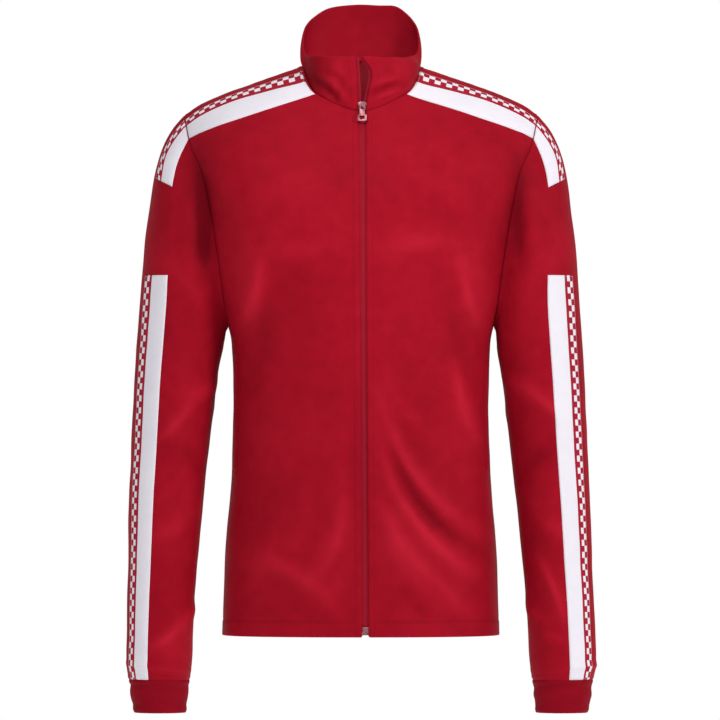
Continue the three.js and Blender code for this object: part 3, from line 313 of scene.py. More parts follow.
# Smaller creases of the worn cloth
FINE_FOLDS = (
    Fold(F, 20, -352, 92, -470, -12, 9, 2.0, 0.1), Fold(F, 30, -486, 128, -596, -16, 8, -2.2, 0.1),
    Fold(F, 24, -566, 96, -672, -8, 9, 2.0, 0.1), Fold(F, 60, -560, 152, -640, -10, 9, 2.2, 0.1),
    Fold(F, 96, -648, 160, -692, -6, 9, 2.0, 0.1), Fold(F, 40, -640, 100, -694, -6, 8, -1.8, 0.1),
    Fold(F, -22, -420, -46, -560, 8, 12, 1.3, 0.1), Fold(F, -60, -500, -118, -640, 14, 13, 1.3, 0.1),
    Fold(F, -104, -556, -150, -668, 8, 10, 1.2, 0.1), Fold(F, -12, -600, -62, -690, 6, 10, 1.2, 0.1),
    Fold(F, 60, -140, 150, -196, 6, 12, 1.4, 0.1), Fold(F, -60, -140, -150, -190, -6, 13, 1.4, 0.1),
    Fold(F, 140, -190, 164, -300, -5, 9, 2.0, 0.1), Fold(F, -140, -196, -164, -300, 5, 9, 1.8, 0.1),
    Fold(F, 90, -244, 150, -262, 5, 10, 1.8, 0.1), Fold(F, -40, -236, -130, -246, -5, 13, 1.8, 0.1),
    Fold(F, 110, -300, 152, -420, -6, 9, -2.0, 0.1), Fold(F, -110, -300, -152, -430, 6, 10, -1.8, 0.1),
    Fold(F, 190, -150, 176, -290, -4, 9, -2.4, 0.1), Fold(F, -188, -170, -172, -290, 4, 9, 2.6, 0.1),
    Fold(B, -90, -120, 90, -128, -8, 20, 2.0, 0.1), Fold(B, -30, -300, -60, -470, 10, 16, 2.2, 0.1),
    Fold(B, 50, -320, 30, -480, -8, 14, 2.0, 0.1), Fold(B, 100, -380, 140, -500, -8, 12, 2.2, 0.1),
    Fold(B, -110, -370, -140, -470, 8, 12, 2.2, 0.1), Fold(B, 20, -600, 120, -672, 10, 11, 2.0, 0.1),
    Fold(B, 80, -200, 140, -300, -10, 12, 2.0, 0.1), Fold(B, -90, -230, -140, -300, 8, 12, 2.0, 0.1),
)
# Crests of the largest folds, sharper in the cloth than in the solids
CREST_FOLDS = tuple(
    replace(fold, width=fold.width * 0.55, rise=fold.rise * 0.7, ends=0.1) for fold in MAIN_FOLDS
)
# Folds of the front of the collar
COLLAR_FOLDS = (
    Fold(F, -72, 10, -58, -36, 0, 15, -4.5), Fold(F, -34, 8, -30, -16, 1, 8, 3.0),
    Fold(F, -46, -16, -14, -54, 3, 3.6, 4.2), Fold(F, -56, -20, -22, -54, 3, 4.2, -3.8),
    Fold(F, -30, -14, -14, -42, 2, 3.6, -2.8), Fold(F, -26, -6, -12, -32, 2, 3.4, 2.2),
    Fold(F, 11, -31, 42, -19, 3, 3.8, 2.8), Fold(F, 12, -41, 44, -27, 3, 3.4, -2.4),
    Fold(F, 12, -48, 52, -34, 3, 4.0, 2.4), Fold(F, 32, 2, 34, -14, 0, 5, -1.8),
    Fold(F, 44, 6, 58, -18, -3, 7, 1.8),
)


def smooth(share: np.ndarray | float) -> np.ndarray:
    """Ease a share from 0 to 1."""
    t = np.clip(share, 0, 1)
    return t * t * (3 - 2 * t)


def bell(gap: np.ndarray | float, width: float) -> np.ndarray:
    """Bell curve, 1 where the gap is 0."""
    return np.exp(-((gap / width) ** 2))


def unit(vectors: np.ndarray) -> np.ndarray:
    """Vectors of length 1."""
    return vectors / np.linalg.norm(vectors, axis=-1, keepdims=True)


def lapped(grid: np.ndarray, closed: bool) -> np.ndarray:
    """Grid that ends on its first column again where it is closed."""
    return np.concatenate([grid, grid[:, :1]], axis=1) if closed else grid


def fold_rise(x: np.ndarray, z: np.ndarray, face: Face) -> np.ndarray:
    """Sum the folds of one face.

    Args:
        x: Places across.
        z: Heights.
        face: Front or back.

    Returns:
        The outward rise in millimetres.
    """
    out = np.zeros_like(x, dtype=float)
    for fold in (*MAIN_FOLDS, *FINE_FOLDS, *CREST_FOLDS):
        if fold.face is face:
            out += fold.height(x, z)
    return out


def torso_depth(x: np.ndarray, z: np.ndarray, face: Face) -> np.ndarray:
    """Depth of the torso surface at places of the front view.

    Args:
        x: Places across.
        z: Heights.
        face: Front or back.

    Returns:
        The Y of the surface.
    """
    name = face.name.lower()
    across = np.minimum(np.abs(x) / TORSO.look("half", z), 1)
    bulge = (1 - across**ROUNDNESS) ** (1 / ROUNDNESS)
    below = np.maximum(SHOULDER.look("z", np.abs(x)) - z, 0)
    reach = SHOULDER.look(name, np.abs(x))
    share = np.minimum(np.sqrt(below**2 + 2 * RIDGE_ROUND[face] * below) / reach, 1)
    full = TORSO.look(name, z) * bulge
    return MID_Y + face.value * full * (1 - (1 - share) ** ROUNDNESS)


def on_torso(x: np.ndarray, z: np.ndarray, face: Face) -> np.ndarray:
    """Points of the torso surface at places of the front view."""
    x, z = np.broadcast_arrays(np.asarray(x, float), np.asarray(z, float))
    return np.stack([x, torso_depth(x, z, face), z], axis=-1)


def run_lengths(path: np.ndarray) -> np.ndarray:
    """Distance along a path at each of its points."""
    return np.concatenate([[0], np.cumsum(np.linalg.norm(np.diff(path, axis=0), axis=1))])


def along(path: np.ndarray, stops: np.ndarray) -> np.ndarray:
    """Points of a path at distances along it.

    Args:
        path: Points of the path.
        stops: Distances from its start.

    Returns:
        One point per stop.
    """
    runs = run_lengths(path)
    return np.stack([np.interp(stops, runs, path[:, i]) for i in range(3)], axis=1)


def fine(stops: np.ndarray, detail: int) -> np.ndarray:
    """Split each interval of a list of numbers into equal parts."""
    stops = np.asarray(stops, float)
    count = (len(stops) - 1) * detail + 1
    return np.interp(np.arange(count) / detail, np.arange(len(stops)), stops)


@dataclass
class BodyForm:
    """Grids of the torso panels, the sleeves and the collar, as fine as asked."""

    detail: int = 7
    ring_detail: int = 11
    cuff_detail: int = 14
    collar_detail: int = 9

    def torso_row(
        self, start: np.ndarray, end: np.ndarray, face: Face, lift: Callable, before: int, split: float
    ) -> np.ndarray:
        """Row of the torso between two places of the front view.

        Args:
            start: X and Z at the middle.
            end: X and Z at the side.
            face: Front or back.
            lift: Rise of the row's line by x and share of its length.
            before: Cells before the split.
            split: Share of the length at which the neck ends.

        Returns:
            The row's points.
        """
        share = np.sin(np.pi / 2 * np.arange(181) / 180)
        x = start[0] + (end[0] - start[0]) * share
        z = start[1] + (end[1] - start[1]) * share + lift(x, share)
        path = on_torso(x, np.minimum(z, SHOULDER.look("z", np.abs(x))), face)
        total = run_lengths(path)[-1]
        first = total * split * np.arange(before) / max(before, 1)
        count = FRONT_COLUMNS * self.detail
        second = total * (split + (1 - split) * np.arange(count + 1) / count)
        row = along(path, np.concatenate([first, second]))
        return on_torso(row[:, 0], row[:, 2], face)

    def armhole(self, face: Face) -> np.ndarray:
        """Armhole points from the shoulder tip to the armpit, on the wearer's left."""
        z = TIP_Z + (ARMPIT_Z - TIP_Z) * (1 - np.cos(np.pi * np.arange(361) / 360)) / 2
        path = on_torso(ARMHOLE[face].look("x", z), z, face)
        arcs = FRONT_ARCS if face is F else BACK_ARCS
        lower = FRONT_LOWER_ROWS if face is F else BACK_LOWER_ROWS
        stops = [0, *arcs]
        total = run_lengths(path)[-1]
        stops += [stops[-1] + (total - stops[-1]) * (i + 1) / lower for i in range(lower)]
        points = along(path, fine(stops, self.detail))
        return on_torso(points[:, 0], points[:, 2], face)

    def neck_front(self, side: int) -> np.ndarray:
        """Neck seam of a front from the shoulder down to the zip edge."""
        edge = float(ZIP.x(NECK_FRONT_Z)) * side + ZIP.half_strip
        share = np.arange(301) / 300
        z = NECK_FRONT_Z * share * share * (3 - 2 * share)
        x = np.maximum(NECK_FRONT.look("x", z), edge)
        path = on_torso(side * (x + (edge - x) * share**8), z, F)
        stops = [0, *NECK_ARCS, run_lengths(path)[-1]]
        points = along(path, fine(stops, self.detail))
        return on_torso(points[:, 0], points[:, 2], F)

    def levels(self) -> np.ndarray:
        """Heights of the rows below the armpit."""
        steps = np.linspace(HEM_Z + HEM_FOLD, -345, BODY_STEPS + 1)
        return fine([HEM_Z, *steps, ARMPIT_Z], self.detail)[:-1]

    def front(self, side: int) -> np.ndarray:
        """Front panel from hem to shoulder, columns from the zip edge to the side.

        Args:
            side: 1 for the wearer's left, -1 for the right.

        Returns:
            Grid of points.
        """
        flat = lambda x, share: 0.0
        rows = []
        for z in self.levels():
            start = (float(ZIP.x(z)) + side * ZIP.half_strip, z)
            end = (side * float(TORSO.look("half", z)), z)
            rows.append(self.torso_row(start, end, F, flat, 0, 0.0))
        arm, neck = self.armhole(F), self.neck_front(side)
        last = len(arm) - 1
        for j in range(last, -1, -1):
            low = (j - (len(neck) - 1)) / self.detail
            zip_z = NECK_FRONT_Z + (ARMPIT_Z - NECK_FRONT_Z) * max(low, 0) / FRONT_LOWER_ROWS
            start = (float(ZIP.x(zip_z)) + side * ZIP.half_strip, zip_z) if low > 0 else neck[j][[0, 2]]
            end = (side * arm[j][0], arm[j][2])
            weight = (1 - j / last) ** 2
            rise = float(np.interp(j / self.detail, range(8), ROW_ARCH))

            def lift(x: np.ndarray, share: np.ndarray, weight: float = weight, arch: float = rise,
                     top: bool = j == 0) -> np.ndarray:
                """Rise of the row toward the shoulder line."""
                chord = TIP_Z * (np.abs(x) - NECK_HALF) / (TIP_X - NECK_HALF)
                bulge = SHOULDER.look("z", np.abs(x)) - chord
                if top:
                    return bulge
                inside = (np.abs(x) > NECK_HALF) * smooth(share * 6) * smooth((1 - share) * 12)
                return bulge * weight * inside + arch * np.sin(np.pi * share**1.3)

            row = self.torso_row(start, end, F, lift, 0, 0.0)
            row[0] = on_torso(start[0], start[1], F)
            row[-1] = on_torso(end[0], end[1], F)
            rows.append(row)
        grid = np.array(rows)
        share = np.linspace(0, 1, grid.shape[1])
        top = np.linspace(1, 0, grid.shape[0])[:, None]
        edge = np.minimum(np.minimum(share, 1 - share) * 2, np.minimum(top * 2, 1))
        gap = smooth((np.abs(grid[..., 0] - ZIP.x(grid[..., 2])) - 6) / 14)
        grid[..., 1] -= fold_rise(grid[..., 0], grid[..., 2], F) * gap * smooth(edge * 4)
        return grid

    def back_top_z(self, x: np.ndarray) -> np.ndarray:
        """Height of the neck seam and shoulder seam of the back."""
        near = np.abs(x) / NECK_HALF
        return np.where(near < 1, NECK_BACK_Z * (1 - near * near), SHOULDER.look("z", np.abs(x)))

    def back(self, shoulder: np.ndarray) -> np.ndarray:
        """Back panel from hem to shoulder, columns from the wearer's left to the right.

        Args:
            shoulder: Top row of the left front.

        Returns:
            Grid of points.
        """
        k = self.detail
        arm = self.armhole(B)
        xs = TIP_X * np.arange(361) / 360
        runs = run_lengths(on_torso(xs, self.back_top_z(xs), B))
        split = float(np.interp(NECK_HALF, xs, runs) / runs[-1])
        neck = BACK_NECK_COLUMNS * k
        flat = lambda x, share: 0.0
        half = [
            self.torso_row((0, z), (float(TORSO.look("half", z)), z), B, flat, neck, split)
            for z in self.levels()
        ]
        top_x = NECK_HALF * np.sin(np.pi / 2 * np.arange(neck) / neck) ** 1.08
        top_x = np.concatenate([top_x, shoulder[:, 0]])
        last = len(arm) - 1
        for j in range(last, -1, -1):
            share = j / last

            def lift(x: np.ndarray, way: np.ndarray, share: float = share) -> np.ndarray:
                """Rise of the row toward the neck and shoulder line."""
                bulge = self.back_top_z(x) - (NECK_BACK_Z + (TIP_Z - NECK_BACK_Z) * x / TIP_X)
                return bulge * (1 - share) ** 1.5 * smooth((1 - way) * 12)

            start = (0, NECK_BACK_Z + (ARMPIT_Z - NECK_BACK_Z) * share)
            row = self.torso_row(start, (arm[j][0], arm[j][2]), B, lift, neck, split)
            row[-1] = on_torso(arm[j][0], arm[j][2], B)
            pull = smooth(1 - j / k)
            if pull > 0:
                x = row[:, 0] * (1 - pull) + top_x * pull
                row = on_torso(x, np.interp(x, row[:, 0], row[:, 2]), B)
            half.append(row)
        half[-1] = on_torso(top_x, self.back_top_z(top_x), B)
        half[-1][neck:] = shoulder
        grid = np.array(half)
        mirrored = grid[:, 1:] * (-1, 1, 1)
        grid = np.concatenate([grid[:, ::-1], mirrored], axis=1)
        column = np.arange(grid.shape[1])
        side = np.minimum(column, column[::-1]) / (6 * k)
        top = (grid.shape[0] - 1 - np.arange(grid.shape[0]))[:, None] / (6 * k)
        fade = smooth(np.minimum(np.minimum(side, top), 1) * 4)
        grid[..., 1] += fold_rise(grid[..., 0], grid[..., 2], B) * fade
        return grid

    def ring_stops(self) -> tuple[np.ndarray, np.ndarray]:
        """Turns and armhole points of the ring: armpit, front, shoulder tip, back."""
        turns, points = [], []
        for face, start in ((F, 0.0), (B, 0.5)):
            path = self.armhole(face)
            runs = run_lengths(path)
            if face is F:
                turns.append(start + (1 - runs[::-1][:-1] / runs[-1]) / 2)
                points.append(path[::-1][:-1])
            else:
                turns.append(start + runs[:-1] / runs[-1] / 2)
                points.append(path[:-1])
        return np.concatenate(turns), np.concatenate(points)

    def ring(self, table: Table, n: float, turn: np.ndarray, swing: float) -> np.ndarray:
        """Points of one ring of a sleeve or cuff.

        Args:
            table: Ring table.
            n: Ring number, whole or between two.
            turn: Shares of a turn from the armpit.
            swing: Shift outward.

        Returns:
            The ring's points.
        """
        row = {name: float(table.look(name, n)) for name in table.columns}
        angle = 2 * np.pi * turn
        reach = -np.cos(angle)
        depth = np.where(np.sin(angle) > 0, row["front"], row["back"])
        x = (row["ox"] + row["ix"]) / 2 + (row["ox"] - row["ix"]) / 2 * reach + swing
        z = (row["oz"] + row["iz"]) / 2 + (row["oz"] - row["iz"]) / 2 * reach
        return np.stack([x, row["y"] - depth * np.sin(angle), z], axis=1)

    @staticmethod
    def band_turn(turn: np.ndarray, ring: float, side: int) -> np.ndarray:
        """Turns of the columns at a ring: they follow the edges of the band down the sleeve."""
        table = BAND_TURNS[side]
        names = ("front", "broad", "rear")
        start = [0.0, *(float(table.look(name, 0)) for name in names), 0.5, 1.0]
        now = [0.0, *(float(table.look(name, ring)) for name in names), 0.5, 1.0]
        return np.interp(turn, start, now)

    def rings(self, table: Table, side: int, cap: bool, creases: Callable) -> np.ndarray:
        """Rings of a sleeve or cuff, from its top down.

        Args:
            table: Ring table.
            side: 1 for the wearer's left, -1 for the right.
            cap: True for the sleeve, which starts on the armhole.
            creases: Outward rise by turn and ring number.

        Returns:
            Grid of points, columns round the ring.
        """
        turn, armhole = self.ring_stops()
        drift = armhole - self.ring(SLEEVE, 0, turn, 0)
        last = len(table.key) - 1
        detail = self.ring_detail if cap else self.cuff_detail
        first_z, last_z = SLEEVE.columns["oz"][0], SLEEVE.columns["oz"][-1]
        rows = []
        for n in fine(table.key, detail):
            down = (float(table.look("oz", n)) - first_z) / (last_z - first_z)
            swing = SWING[side] * math.sin(math.pi * min(max(down, 0), 1))
            now = self.band_turn(turn, n if cap else SLEEVE.key[-1], side)
            place = self.ring(table, n, now, swing)
            if cap:
                place = place + drift * (1 - smooth(n / CAP_FADE_RINGS))
            place[:, 0] *= side
            bend = np.sin(2 * np.pi * now)
            ends = smooth(n / 2) * smooth((last - n) / 2) if cap else 0.0
            for face in Face:
                on = (bend > 0) if face is F else (bend <= 0)
                rise = fold_rise(place[:, 0], place[:, 2], face) * np.abs(bend) * ends
                place[:, 1] += np.where(on, face.value * rise, 0)
            rows.append(place)
        grid = np.array(rows)
        normals = grid_normals(grid, True)
        away = grid - grid.mean(axis=1, keepdims=True)
        sign = np.sign((normals * away).sum(axis=(1, 2), keepdims=True))
        rise = creases(turn[None, :], fine(table.key, detail)[:, None])
        return grid + normals * sign * rise[..., None]

    def collar(self, left: np.ndarray, right: np.ndarray, back: np.ndarray) -> np.ndarray:
        """Collar from the neck seam up, columns from the wearer's left front round the back.

        Args:
            left: Left front grid, zip edge first.
            right: Right front grid, zip edge first.
            back: Back grid.

        Returns:
            Grid of points.
        """
        k = self.detail
        count, side = len(FRONT_ARCS) * k, FRONT_COLUMNS * k
        seam = np.concatenate(
            [left[-1 - count:, 0], back[-1, side + 1:-1 - side], right[-1 - count:, 0][::-1]]
        )
        edge_x = float(ZIP.x(NECK_FRONT_Z))
        half = np.array(COLLAR_TOP, float)
        rim = np.concatenate(
            [
                [(edge_x + ZIP.half_strip, -68, 9)], half, half[-2::-1] * (-1, 1, 1),
                [(edge_x - ZIP.half_strip, -68, 9)],
            ]
        )
        chord = np.concatenate([[0], np.cumsum(np.linalg.norm(np.diff(rim, axis=0), axis=1) ** 0.5)])
        curve = Table("t x y z", *[(t, *point) for t, point in zip(chord, rim)])
        steps = np.linspace(0, chord[-1], 800)
        path = np.stack([curve.look(name, steps) for name in "xyz"], axis=1)
        runs = run_lengths(seam)
        top = along(path, run_lengths(path)[-1] * runs / runs[-1])
        i = np.arange(len(seam)) / k
        last = i[-1]
        near_left, near_right = smooth(1 - i / 4), smooth(1 - (last - i) / 4)
        rows = []
        for share in fine(COLLAR_EDGE.key, self.collar_detail):
            place = seam + (top - seam) * share
            out = place * (1, 1, 0)
            out /= np.linalg.norm(out, axis=1, keepdims=True)
            bulge = COLLAR_BULGE * math.sin(math.pi * share) * smooth(np.minimum(i, last - i) / 5)
            place = place + out * bulge[:, None]
            place[:, 0] += float(COLLAR_EDGE.look("left", share)) * near_left
            place[:, 0] += float(COLLAR_EDGE.look("right", share)) * near_right
            place[:, 1] += float(COLLAR_EDGE.look("y", share)) * (near_left + near_right)
            rows.append(place)
        return np.array(rows)


def grid_normals(grid: np.ndarray, closed: bool) -> np.ndarray:
    """Unit normals of a grid, outward where columns cross rows is outward.

    Args:
        grid: Points by row and column.
        closed: True where the last column joins the first.

    Returns:
        One normal per point.
    """
    ring = lapped(grid, closed)
    diagonal = ring[1:, 1:] - ring[:-1, :-1]
    other = ring[1:, :-1] - ring[:-1, 1:]
    cell = np.cross(diagonal, other)
    out = np.zeros_like(ring)
    for rows in (slice(None, -1), slice(1, None)):
        for columns in (slice(None, -1), slice(1, None)):
            out[rows, columns] += cell
    if closed:
        out[:, 0] += out[:, -1]
        out = out[:, :-1]
    return out / np.maximum(np.linalg.norm(out, axis=2, keepdims=True), 1e-9)


@dataclass
class Sheet:
    """Cloth behind a grid of points, numbered by the part's own rows and columns."""

    name: str
    grid: np.ndarray
    wall: float
    closed: bool = False
    seams: str = ""
    row_at: np.ndarray = field(default_factory=lambda: np.zeros(0))
    column_at: np.ndarray = field(default_factory=lambda: np.zeros(0))
    normals: np.ndarray = field(init=False)
    crease: np.ndarray = field(init=False)

    def __post_init__(self) -> None:
        """Find the normals and clear the crease map."""
        self.settle()
        self.crease = np.zeros(self.grid.shape[:2])

    def settle(self) -> None:
        """Find the normals again after the shape has changed."""
        self.normals = grid_normals(self.grid, self.closed)

    def rise(self, height: np.ndarray, marked: bool = True) -> None:
        """Move the points out along the normals.

        Args:
            height: Rise in millimetres by point.
            marked: True where the rise is also kept in the crease map, for the painted shade and light of the
                cloth's colour.
        """
        self.grid = self.grid + self.normals * height[..., None]
        if marked:
            self.crease = self.crease + height

    def reach(self, edge: str) -> np.ndarray:
        """Distance of each point from one edge: foot, head, start or end."""
        axis = 0 if edge in ("foot", "head") else 1
        steps = np.moveaxis(np.linalg.norm(np.diff(self.grid, axis=axis), axis=2), axis, 0)
        out = np.zeros((len(steps) + 1, steps.shape[1]))
        if edge in ("foot", "start"):
            out[1:] = np.cumsum(steps, axis=0)
        else:
            out[:-1] = np.cumsum(steps[::-1], axis=0)[::-1]
        return np.moveaxis(out, 0, axis)

    def rim(self) -> np.ndarray:
        """Distance of each point from the nearest edge."""
        return np.minimum.reduce([self.reach(edge) for edge in EDGES])

    def crowd(self) -> None:
        """Add rows close to the seams, so that they can dip sharply."""
        for edge in self.seams.split():
            axis, low = 0 if edge in ("foot", "head") else 1, edge in ("foot", "start")
            a, b = (0, 1) if low else (-2, -1)
            shares = SEAM_ROWS if low else tuple(1 - share for share in reversed(SEAM_ROWS))

            def grown(values: np.ndarray, axis: int) -> np.ndarray:
                """Values with those of the new rows among them."""
                values = np.moveaxis(values, axis, 0)
                new = np.array([values[a] * (1 - s) + values[b] * s for s in shares])
                where = [1 if low else len(values) - 1] * len(shares)
                return np.moveaxis(np.insert(values, where, new, axis=0), 0, axis)

            self.grid, self.crease = grown(self.grid, axis), grown(self.crease, axis)
            if axis == 0:
                self.row_at = grown(self.row_at, 0)
            else:
                self.column_at = grown(self.column_at, 0)
            self.settle()

    def flat(self) -> tuple[np.ndarray, np.ndarray]:
        """Lengths across and along the cloth at each point, in metres, for its pattern."""
        ring = lapped(self.grid, self.closed)
        across, up = np.zeros(ring.shape[:2]), np.zeros(ring.shape[:2])
        across[:, 1:] = np.cumsum(np.linalg.norm(np.diff(ring, axis=1), axis=2), axis=1)
        up[1:] = np.cumsum(np.linalg.norm(np.diff(ring, axis=0), axis=2), axis=0)
        middle = across[:, across.shape[1] // 2][:, None]
        return (across - middle) * MM, up * MM

    def cut(self) -> tuple[tuple[float, float], float]:
        """Width, length and area of the cut that the sheet was made from, in metres.

        Returns:
            Width and length of its rectangle, and its area.
        """
        across, up = self.flat()
        width = float((across.max(axis=1) - across.min(axis=1)).max())
        length = float(up.max())
        ring = lapped(self.grid, self.closed)
        diagonal, other = ring[1:, 1:] - ring[:-1, :-1], ring[1:, :-1] - ring[:-1, 1:]
        area = float(np.linalg.norm(np.cross(diagonal, other), axis=2).sum() / 2 * 1e-6)
        area = max(area, SMALLEST_FILL * width * length)
        width, length = round(width, 3), round(length, 3)
        return (width, length), round(min(area, LARGEST_FILL * width * length), 5)

    def sample(self, rows: np.ndarray, columns: np.ndarray) -> tuple[np.ndarray, np.ndarray]:
        """Points and normals at row and column numbers of the part.

        Args:
            rows: Row numbers, whole or between.
            columns: Column numbers of the same shape.

        Returns:
            Points and unit normals.
        """
        def spot(lines: np.ndarray, value: np.ndarray) -> tuple[np.ndarray, np.ndarray]:
            """Index below a value and the share past it."""
            steps = np.arange(len(lines))
            order = np.argsort(lines)
            at_line = np.clip(np.interp(value, lines[order], steps[order]), 0, len(lines) - 1.0001)
            low = np.floor(at_line).astype(int)
            return low, (at_line - low)[..., None]

        r, down = spot(self.row_at, rows)
        c, over = spot(self.column_at, columns)

        def blend(values: np.ndarray) -> np.ndarray:
            """Value between the four grid points around each place."""
            low = values[r, c] * (1 - over) + values[r, c + 1] * over
            high = values[r + 1, c] * (1 - over) + values[r + 1, c + 1] * over
            return low * (1 - down) + high * down

        return blend(self.grid), unit(blend(self.normals))

    def beside(
        self, edge: str, distance: float, low: float = -1, high: float = 1e4
    ) -> tuple[np.ndarray, np.ndarray]:
        """Line at a distance from an edge.

        Args:
            edge: Name of the edge.
            distance: Distance from it along the cloth.
            low: First number along the edge.
            high: Last number along the edge.

        Returns:
            Points and normals of the line.
        """
        level = edge in ("foot", "head")
        reach, lines, cross = self.reach(edge), self.row_at, self.column_at
        if level:
            reach, lines, cross = reach.T, cross, lines
        order = slice(None) if edge in ("foot", "start") else slice(None, None, -1)
        picks = [
            (line, np.interp(distance, reach[i][order], cross[order]))
            for i, line in enumerate(lines) if low <= line <= high
        ]
        places = np.array(picks).T
        return self.sample(*places[::-1]) if level else self.sample(*places)


class SeamBook:
    """Shared directions through the wall where sheets meet."""

    def __init__(self, sheets: list[Sheet]) -> None:
        """Sum the normals of all sheets at the points of their edges.

        Args:
            sheets: Sheets that are sewn to each other.
        """
        self.sums: dict[tuple[int, int, int], np.ndarray] = {}
        self.counts: dict[tuple[int, int, int], set[str]] = {}
        for sheet in sheets:
            for r, c in self.edge_places(sheet):
                key = self.key(sheet.grid[r, c])
                self.sums[key] = self.sums.get(key, np.zeros(3)) + sheet.normals[r, c]
                self.counts.setdefault(key, set()).add(sheet.name)

    @staticmethod
    def key(point: np.ndarray) -> tuple[int, int, int]:
        """Name of a place, the same for points that coincide."""
        return tuple(int(v) for v in np.round(point * 8))

    @staticmethod
    def edge_places(sheet: Sheet) -> list[tuple[int, int]]:
        """Grid places on the edges of a sheet."""
        height, width = sheet.grid.shape[:2]
        out = [(r, c) for r in (0, height - 1) for c in range(width)]
        if not sheet.closed:
            out += [(r, c) for c in (0, width - 1) for r in range(1, height - 1)]
        return out

    def share(self, sheet: Sheet) -> None:
        """Give a sheet the shared direction at its seam points."""
        for r, c in self.edge_places(sheet):
            key = self.key(sheet.grid[r, c])
            if len(self.counts.get(key, ())) > 1:
                total = self.sums[key]
                size = np.linalg.norm(total)
                if size > 0.2:
                    sheet.normals[r, c] = total / size


def corners(mesh: bpy.types.Mesh) -> np.ndarray:
    """Point number of each face corner."""
    corner = np.zeros(len(mesh.loops), dtype=int)
    mesh.loops.foreach_get("vertex_index", corner)
    return corner


def add_map(mesh: bpy.types.Mesh, name: str, places: np.ndarray) -> None:
    """Add a UV map with one pair of numbers for each face corner."""
    layer = mesh.uv_layers.new(name=name)
    layer.data.foreach_set("uv", places.astype(np.float32).reshape(-1))


def new_piece(name: str, points: np.ndarray, faces: np.ndarray, smoothed: bool = True) -> bpy.types.Object:
    """Piece from its points in millimetres and its faces.

    Args:
        name: Name of the piece.
        points: One row per point.
        faces: Point numbers of each face.
        smoothed: True where it is shaded smooth.

    Returns:
        The new piece.
    """
    mesh = bpy.data.meshes.new(name)
    mesh.from_pydata((points * MM).tolist(), [], faces.tolist())
    mesh.validate()
    mesh.polygons.foreach_set("use_smooth", [smoothed] * len(mesh.polygons))
    piece = bpy.data.objects.new(name, mesh)
    bpy.context.scene.collection.objects.link(piece)
    return piece


def shell_object(
    sheet: Sheet, name: str, roll: str = "", inner_extra: np.ndarray | float = 0.0
) -> bpy.types.Object:
    """Closed cloth body of a sheet, with its flat pattern and the crease map that paints shade and light into its
    colour.

    Args:
        sheet: Sheet to build.
        name: Name of the piece.
        roll: Edges that turn over in a round fold.
        inner_extra: Added depth of the wall by point.

    Returns:
        The new object.
    """
    height, width = sheet.grid.shape[:2]
    count = height * width
    ways, outer = sheet.normals.reshape(-1, 3), sheet.grid.reshape(-1, 3)
    depths = sheet.normals * (sheet.wall + np.asarray(inner_extra))[..., None]
    inner = (sheet.grid - depths).reshape(-1, 3)
    points, sources = [outer, inner], [np.arange(count), np.arange(count)]
    ids = np.arange(count).reshape(height, width)
    cells = width if sheet.closed else width - 1
    near, nxt = ids[:, :cells], np.roll(ids, -1, axis=1)[:, :cells]
    quads = [np.stack([near[:-1], nxt[:-1], nxt[1:], near[1:]], axis=-1).reshape(-1, 4)]
    quads.append(quads[0][:, ::-1] + count)
    borders = [("foot", ids[0], ids[1], False), ("head", ids[-1], ids[-2], True)]
    if not sheet.closed:
        borders += [("start", ids[:, 0], ids[:, 1], True), ("end", ids[:, -1], ids[:, -2], False)]
    extra = 2 * count
    for edge, line, inside, flip in borders:
        a = np.append(line, line[0]) if sheet.closed else line
        levels = [a]
        if edge in roll.split():
            out = outer[line] - outer[inside]
            out -= ways[line] * (out * ways[line]).sum(axis=1, keepdims=True)
            out /= np.maximum(np.linalg.norm(out, axis=1, keepdims=True), 1e-9)
            top, low = outer[line], inner[line]
            depth = np.linalg.norm(top - low, axis=1, keepdims=True)
            for part in (
                top * 0.85 + low * 0.15 + out * depth * 0.32,
                (top + low) / 2 + out * depth * 0.45,
                top * 0.15 + low * 0.85 + out * depth * 0.32,
            ):
                points.append(part)
                sources.append(line)
                new = extra + np.arange(len(line))
                extra += len(line)
                levels.append(np.append(new, new[0]) if sheet.closed else new)
        levels.append(a + count)
        for upper, lower in zip(levels[:-1], levels[1:]):
            faces = np.stack([upper[:-1], lower[:-1], lower[1:], upper[1:]], axis=-1)
            quads.append(faces[:, ::-1] if flip else faces)
    piece = new_piece(name, np.concatenate(points), np.concatenate(quads))
    mesh, source = piece.data, np.concatenate(sources)
    across, up = sheet.flat()
    corner = corners(mesh)
    uv = np.stack([part[:, :width].reshape(-1)[source][corner] for part in (across, up)], axis=1)
    if sheet.closed:
        lap = across[:, width] - across[:, 0]
        column = (source % width)[corner].reshape(-1, 4)
        row = (source // width)[corner].reshape(-1, 4)
        wide = column.max(axis=1) - column.min(axis=1) > width / 2
        uv[:, 0] += np.where(wide[:, None] & (column < width / 2), lap[row], 0).reshape(-1)
    add_map(mesh, "cloth", uv)
    # Crease map: fold heights that the material turns into painted shade and light.
    mark = mesh.attributes.new("crease", "FLOAT", "POINT")
    mark.data.foreach_set("value", sheet.crease.reshape(-1)[source].astype(np.float32))
    return piece


def frames_on(
    path: np.ndarray, normals: np.ndarray, stops: np.ndarray, step: float
) -> tuple[np.ndarray, np.ndarray, np.ndarray]:
    """Places on a line over the cloth, with their directions.

    Args:
        path: Points of the line.
        normals: Normals of the cloth at those points.
        stops: Distances along the line.
        step: Distance over which the direction is measured.

    Returns:
        Places, unit directions ahead and unit directions out of the cloth.
    """
    runs = run_lengths(path)
    ahead = unit(along(path, np.minimum(stops + step, runs[-1])) - along(path, np.maximum(stops - step, 0)))
    out = np.stack([np.interp(stops, runs, normals[:, i]) for i in range(3)], axis=1)
    out -= ahead * (out * ahead).sum(axis=1, keepdims=True)
    return along(path, stops), ahead, unit(out)


